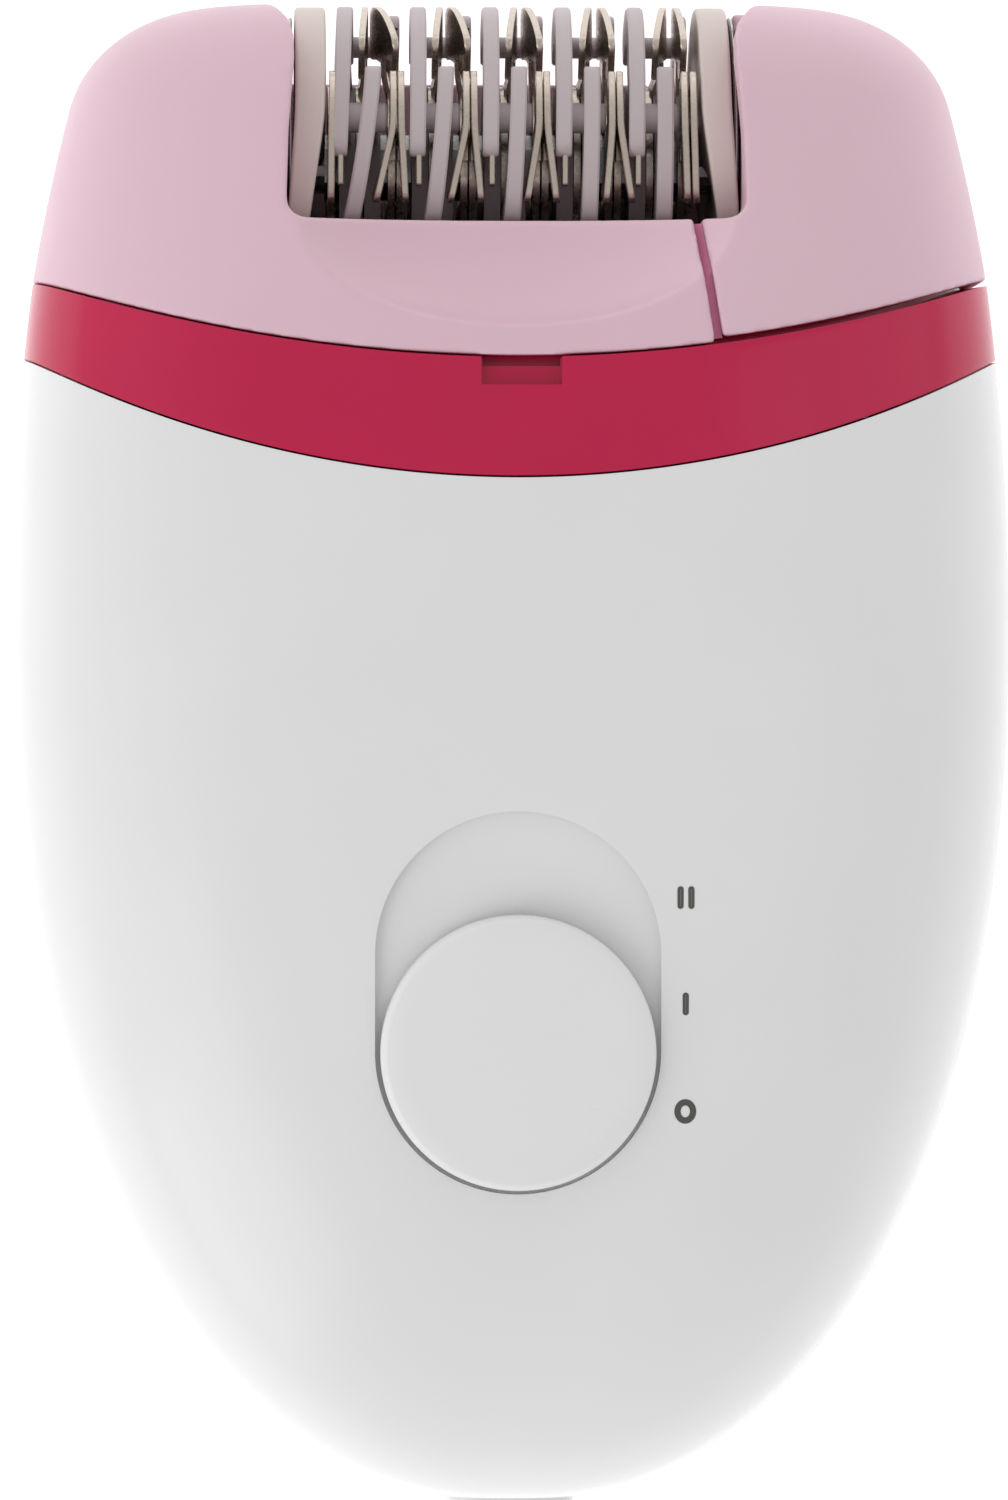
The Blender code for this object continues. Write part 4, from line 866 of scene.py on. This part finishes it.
def plate_b_lean(k):
    """Plates B lean to the left at their lower end, less and less towards the right of the barrel."""
    return -0.14 - 1.5 * ((STATIONS - 1 - k) / (STATIONS - 1)) ** 1.8


A_SPAN, B_SPAN, E_SPAN, TAIL_SPAN = (-33.0, 89.5), (52.0, 116.0), (-62.0, -9.0), (87.0, 101.0)
TIE_ROD_AT = 9.3


def lifter_plate(name, x, span_, inner, lean, spokes, thickness):
    """Two opposite rim plates that lean along the axle, with spokes to a hub at the angles named."""
    start, end = span_
    bm = bmesh.new()
    for half_turn in (0, 180):
        def at(angle, half_turn=half_turn):
            share = max(0.0, (angle - half_turn - start) / (end - start))
            return x + lean * share ** 1.5

        radii = (inner, BARREL_RADIUS)
        strip(bm, start + half_turn, end + half_turn, radii, at, thickness, 1.2, 0.14, 40)
        for spoke in spokes:
            neck(bm, x, at(spoke + half_turn), spoke + half_turn, thickness * 0.8, 9.2)
    if spokes:
        hub(bm, x, thickness)
    return bake(closed(name, bm, "lilac"))


def lifter_tail(name, x):
    """The steel tail below plate A."""
    def at(_):
        return x

    bm = bmesh.new()
    for half_turn in (0, 180):
        strip(bm, TAIL_SPAN[0] + half_turn, TAIL_SPAN[1] + half_turn, (8.9, 10.6), at, 0.42, 0.4, 0.06)
    return bake(closed(name, bm, "blade"))


def lifter_carrier(k):
    """A station's plates A, B and E, the rods that tie them, and the steel tail."""
    x = station_x(k)
    lean_a = -0.65 if k == 0 else -0.3
    pieces = [
        lifter_plate(f"lifter_{k + 1}_a", x, A_SPAN, 8.6, lean_a, (12.0, 70.0), 1.12),
        lifter_plate(f"lifter_{k + 1}_b", x + PLATE_B, B_SPAN, 8.6, plate_b_lean(k), (70.0,), 1.12),
        lifter_plate(f"lifter_{k + 1}_e", x + PLATE_E, E_SPAN, 8.8, 0.0, (), 0.8),
    ]
    to_b, to_e = (PLATE_B + 0.95, 1.05), (PLATE_E, 0.75)      # reach and radius of a rod
    rods = ((72.0, *to_b), (252.0, *to_b), (-20.0, *to_e), (160.0, *to_e))
    for number, (angle, reach, radius) in enumerate(rods):
        turn = math.radians(angle)
        y, z = AXLE_Y + TIE_ROD_AT * math.cos(turn), AXLE_Z + TIE_ROD_AT * math.sin(turn)
        name = f"tie_rod_{k + 1}_{number + 1}"
        pieces.append(bake(rod_x(name, x - 0.3, x + reach, y, z, radius, 32, "lilac")))
    finish_piece(pieces[0], "barrel", "plate_lilac", f"lifter_carrier_{k + 1}")
    for piece in pieces[1:]:
        finish_piece(piece, "barrel", "plate_lilac")
    finish_piece(lifter_tail(f"lifter_tail_{k + 1}", x + lean_a + 0.12), "barrel", "blade_steel")


# ---------------------------------------------------------------- CAD nodes that keep their own shape
KEPT = {     # start of the node's name: material
    "release_button": "magenta",
    "release_spring": "steel",
    "case_screw": "zinc",
    "gear_chassis": "black",
    "idler_axle": "steel",
    "output_axle": "steel",
    "motor_can": "zinc",
    "motor_end_cap": "black",
    "motor_shaft": "steel",
    "motor_armature": "copper",
    "motor_pinion": "brass",
    "idler_gear": "nylon",
    "output_gear": "nylon",
    "barrel_gear": "nylon",
    "bearing": "nylon",
    "barrel_axle": "steel",
    "head_base": "lilac",
    "circuit_board": "board",
    "switch_block": "black",
    "speed_resistor": "nylon",
    "knob_slider": "nylon",
    "socket_pin": "brass",
    "supply_wire_left": "red",
    "supply_wire_right": "black",
    "motor_wire_left": "red",
    "motor_wire_right": "black",
}


def dress_kept_nodes(nodes):
    """Gives the pieces that are mostly out of sight their material."""
    for name, obj in nodes.items():
        found = next((colour for prefix, colour in KEPT.items() if name.startswith(prefix)), None)
        if found:
            for slot in obj.material_slots:
                slot.material = MATERIALS[found]


# ---------------------------------------------------------------- floor, light and camera
def floor():
    bm = bmesh.new()
    bmesh.ops.create_grid(bm, x_segments=1, y_segments=1, size=1.5)
    bmesh.ops.translate(bm, verts=bm.verts, vec=(0, 0, -0.00005))
    made, shader = shader_material("pale_floor", 0.9)
    vary_colour(made, shader, (0.95, 0.95, 0.95), 0.01, 3.0)
    shader.inputs["Emission Color"].default_value = (1, 1, 1, 1)
    shader.inputs["Emission Strength"].default_value = 0.5
    MATERIALS["floor"] = made
    mesh_object("floor", bm, "floor")


def area_light(name, place, size, energy):
    """A soft panel aimed at the middle of the appliance. Place is in metres."""
    data = bpy.data.lights.new(name, "AREA")
    data.shape = "RECTANGLE"
    data.size, data.size_y = size
    data.energy = energy
    obj = bpy.data.objects.new(name, data)
    obj.location = place
    aim = Vector((0, 0, 0.02)) - Vector(place)
    obj.rotation_euler = aim.to_track_quat("-Z", "Y").to_euler()
    bpy.context.scene.collection.objects.link(obj)


WALLS, ZENITH = 0.88, 0.60    # strength of the bright studio walls and of the dark space overhead
RIGHT_SHADE = 0.3             # how far the dark space leans over to the right


def studio():
    """Bright walls all round and a darker space overhead, so that front faces mirror little."""
    world = bpy.data.worlds.new("studio")
    world.use_nodes = True
    tree = world.node_tree
    where = tree.nodes.new("ShaderNodeTexCoord")
    split = tree.nodes.new("ShaderNodeSeparateXYZ")
    lean = tree.nodes.new("ShaderNodeMath")
    lean.operation = "MULTIPLY_ADD"
    lean.inputs[1].default_value = RIGHT_SHADE
    level = tree.nodes.new("ShaderNodeMapRange")
    level.interpolation_type = "SMOOTHSTEP"
    for socket, value in (("From Min", 0.3), ("From Max", 0.97), ("To Min", WALLS), ("To Max", ZENITH)):
        level.inputs[socket].default_value = value
    background = tree.nodes["Background"]
    background.inputs["Color"].default_value = (1, 1, 1, 1)
    tree.links.new(where.outputs["Generated"], split.inputs["Vector"])
    tree.links.new(split.outputs["X"], lean.inputs[0])
    tree.links.new(split.outputs["Z"], lean.inputs[2])
    tree.links.new(lean.outputs["Value"], level.inputs["Value"])
    tree.links.new(level.outputs["Result"], background.inputs["Strength"])
    bpy.context.scene.world = world
    bpy.context.scene.view_settings.view_transform = "Standard"
    area_light("key", (-0.65, -0.5, 0.6), (0.6, 0.9), 2.3)
    area_light("fill", (0.6, 0.2, 0.6), (0.4, 0.9), 0.35)
    area_light("top_edge", (0.0, 0.75, 0.35), (0.9, 0.3), 0.5)


def camera():
    data = bpy.data.cameras.new("camera")
    data.sensor_fit = "AUTO"
    data.sensor_width = 36.0
    data.lens = 36.0 * CAMERA_DISTANCE / VIEW_HEIGHT
    data.clip_start, data.clip_end = 0.01, 10.0
    obj = bpy.data.objects.new("camera", data)
    away = Vector((-math.sin(CAMERA_TURN), 0, math.cos(CAMERA_TURN)))
    right = Vector((math.cos(CAMERA_TURN), 0, math.sin(CAMERA_TURN)))
    up = away.cross(right)
    matrix = Matrix((right, up, away)).transposed().to_4x4()
    matrix.translation = (Vector(CAMERA_TARGET) + away * CAMERA_DISTANCE) * MM
    obj.matrix_world = matrix
    bpy.context.scene.collection.objects.link(obj)
    bpy.context.scene.camera = obj


def main():
    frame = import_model()
    make_materials()
    dress_kept_nodes(frame["nodes"])
    front_shell()
    rear_shell()
    screw_posts()
    knob()
    marks()
    socket()
    collar()
    head_part("head_housing_skin", False, "head_housing")
    head_part("head_side_cover_skin", True, "head_side_cover")
    slit_tongue()
    for side, label in ((-1, "left"), (1, "right")):
        guide_ring(side, label)
        guide_shim(side, label)
    tweezer_discs()
    for k in range(STATIONS):
        lifter_carrier(k)
    floor()
    studio()
    camera()


main()
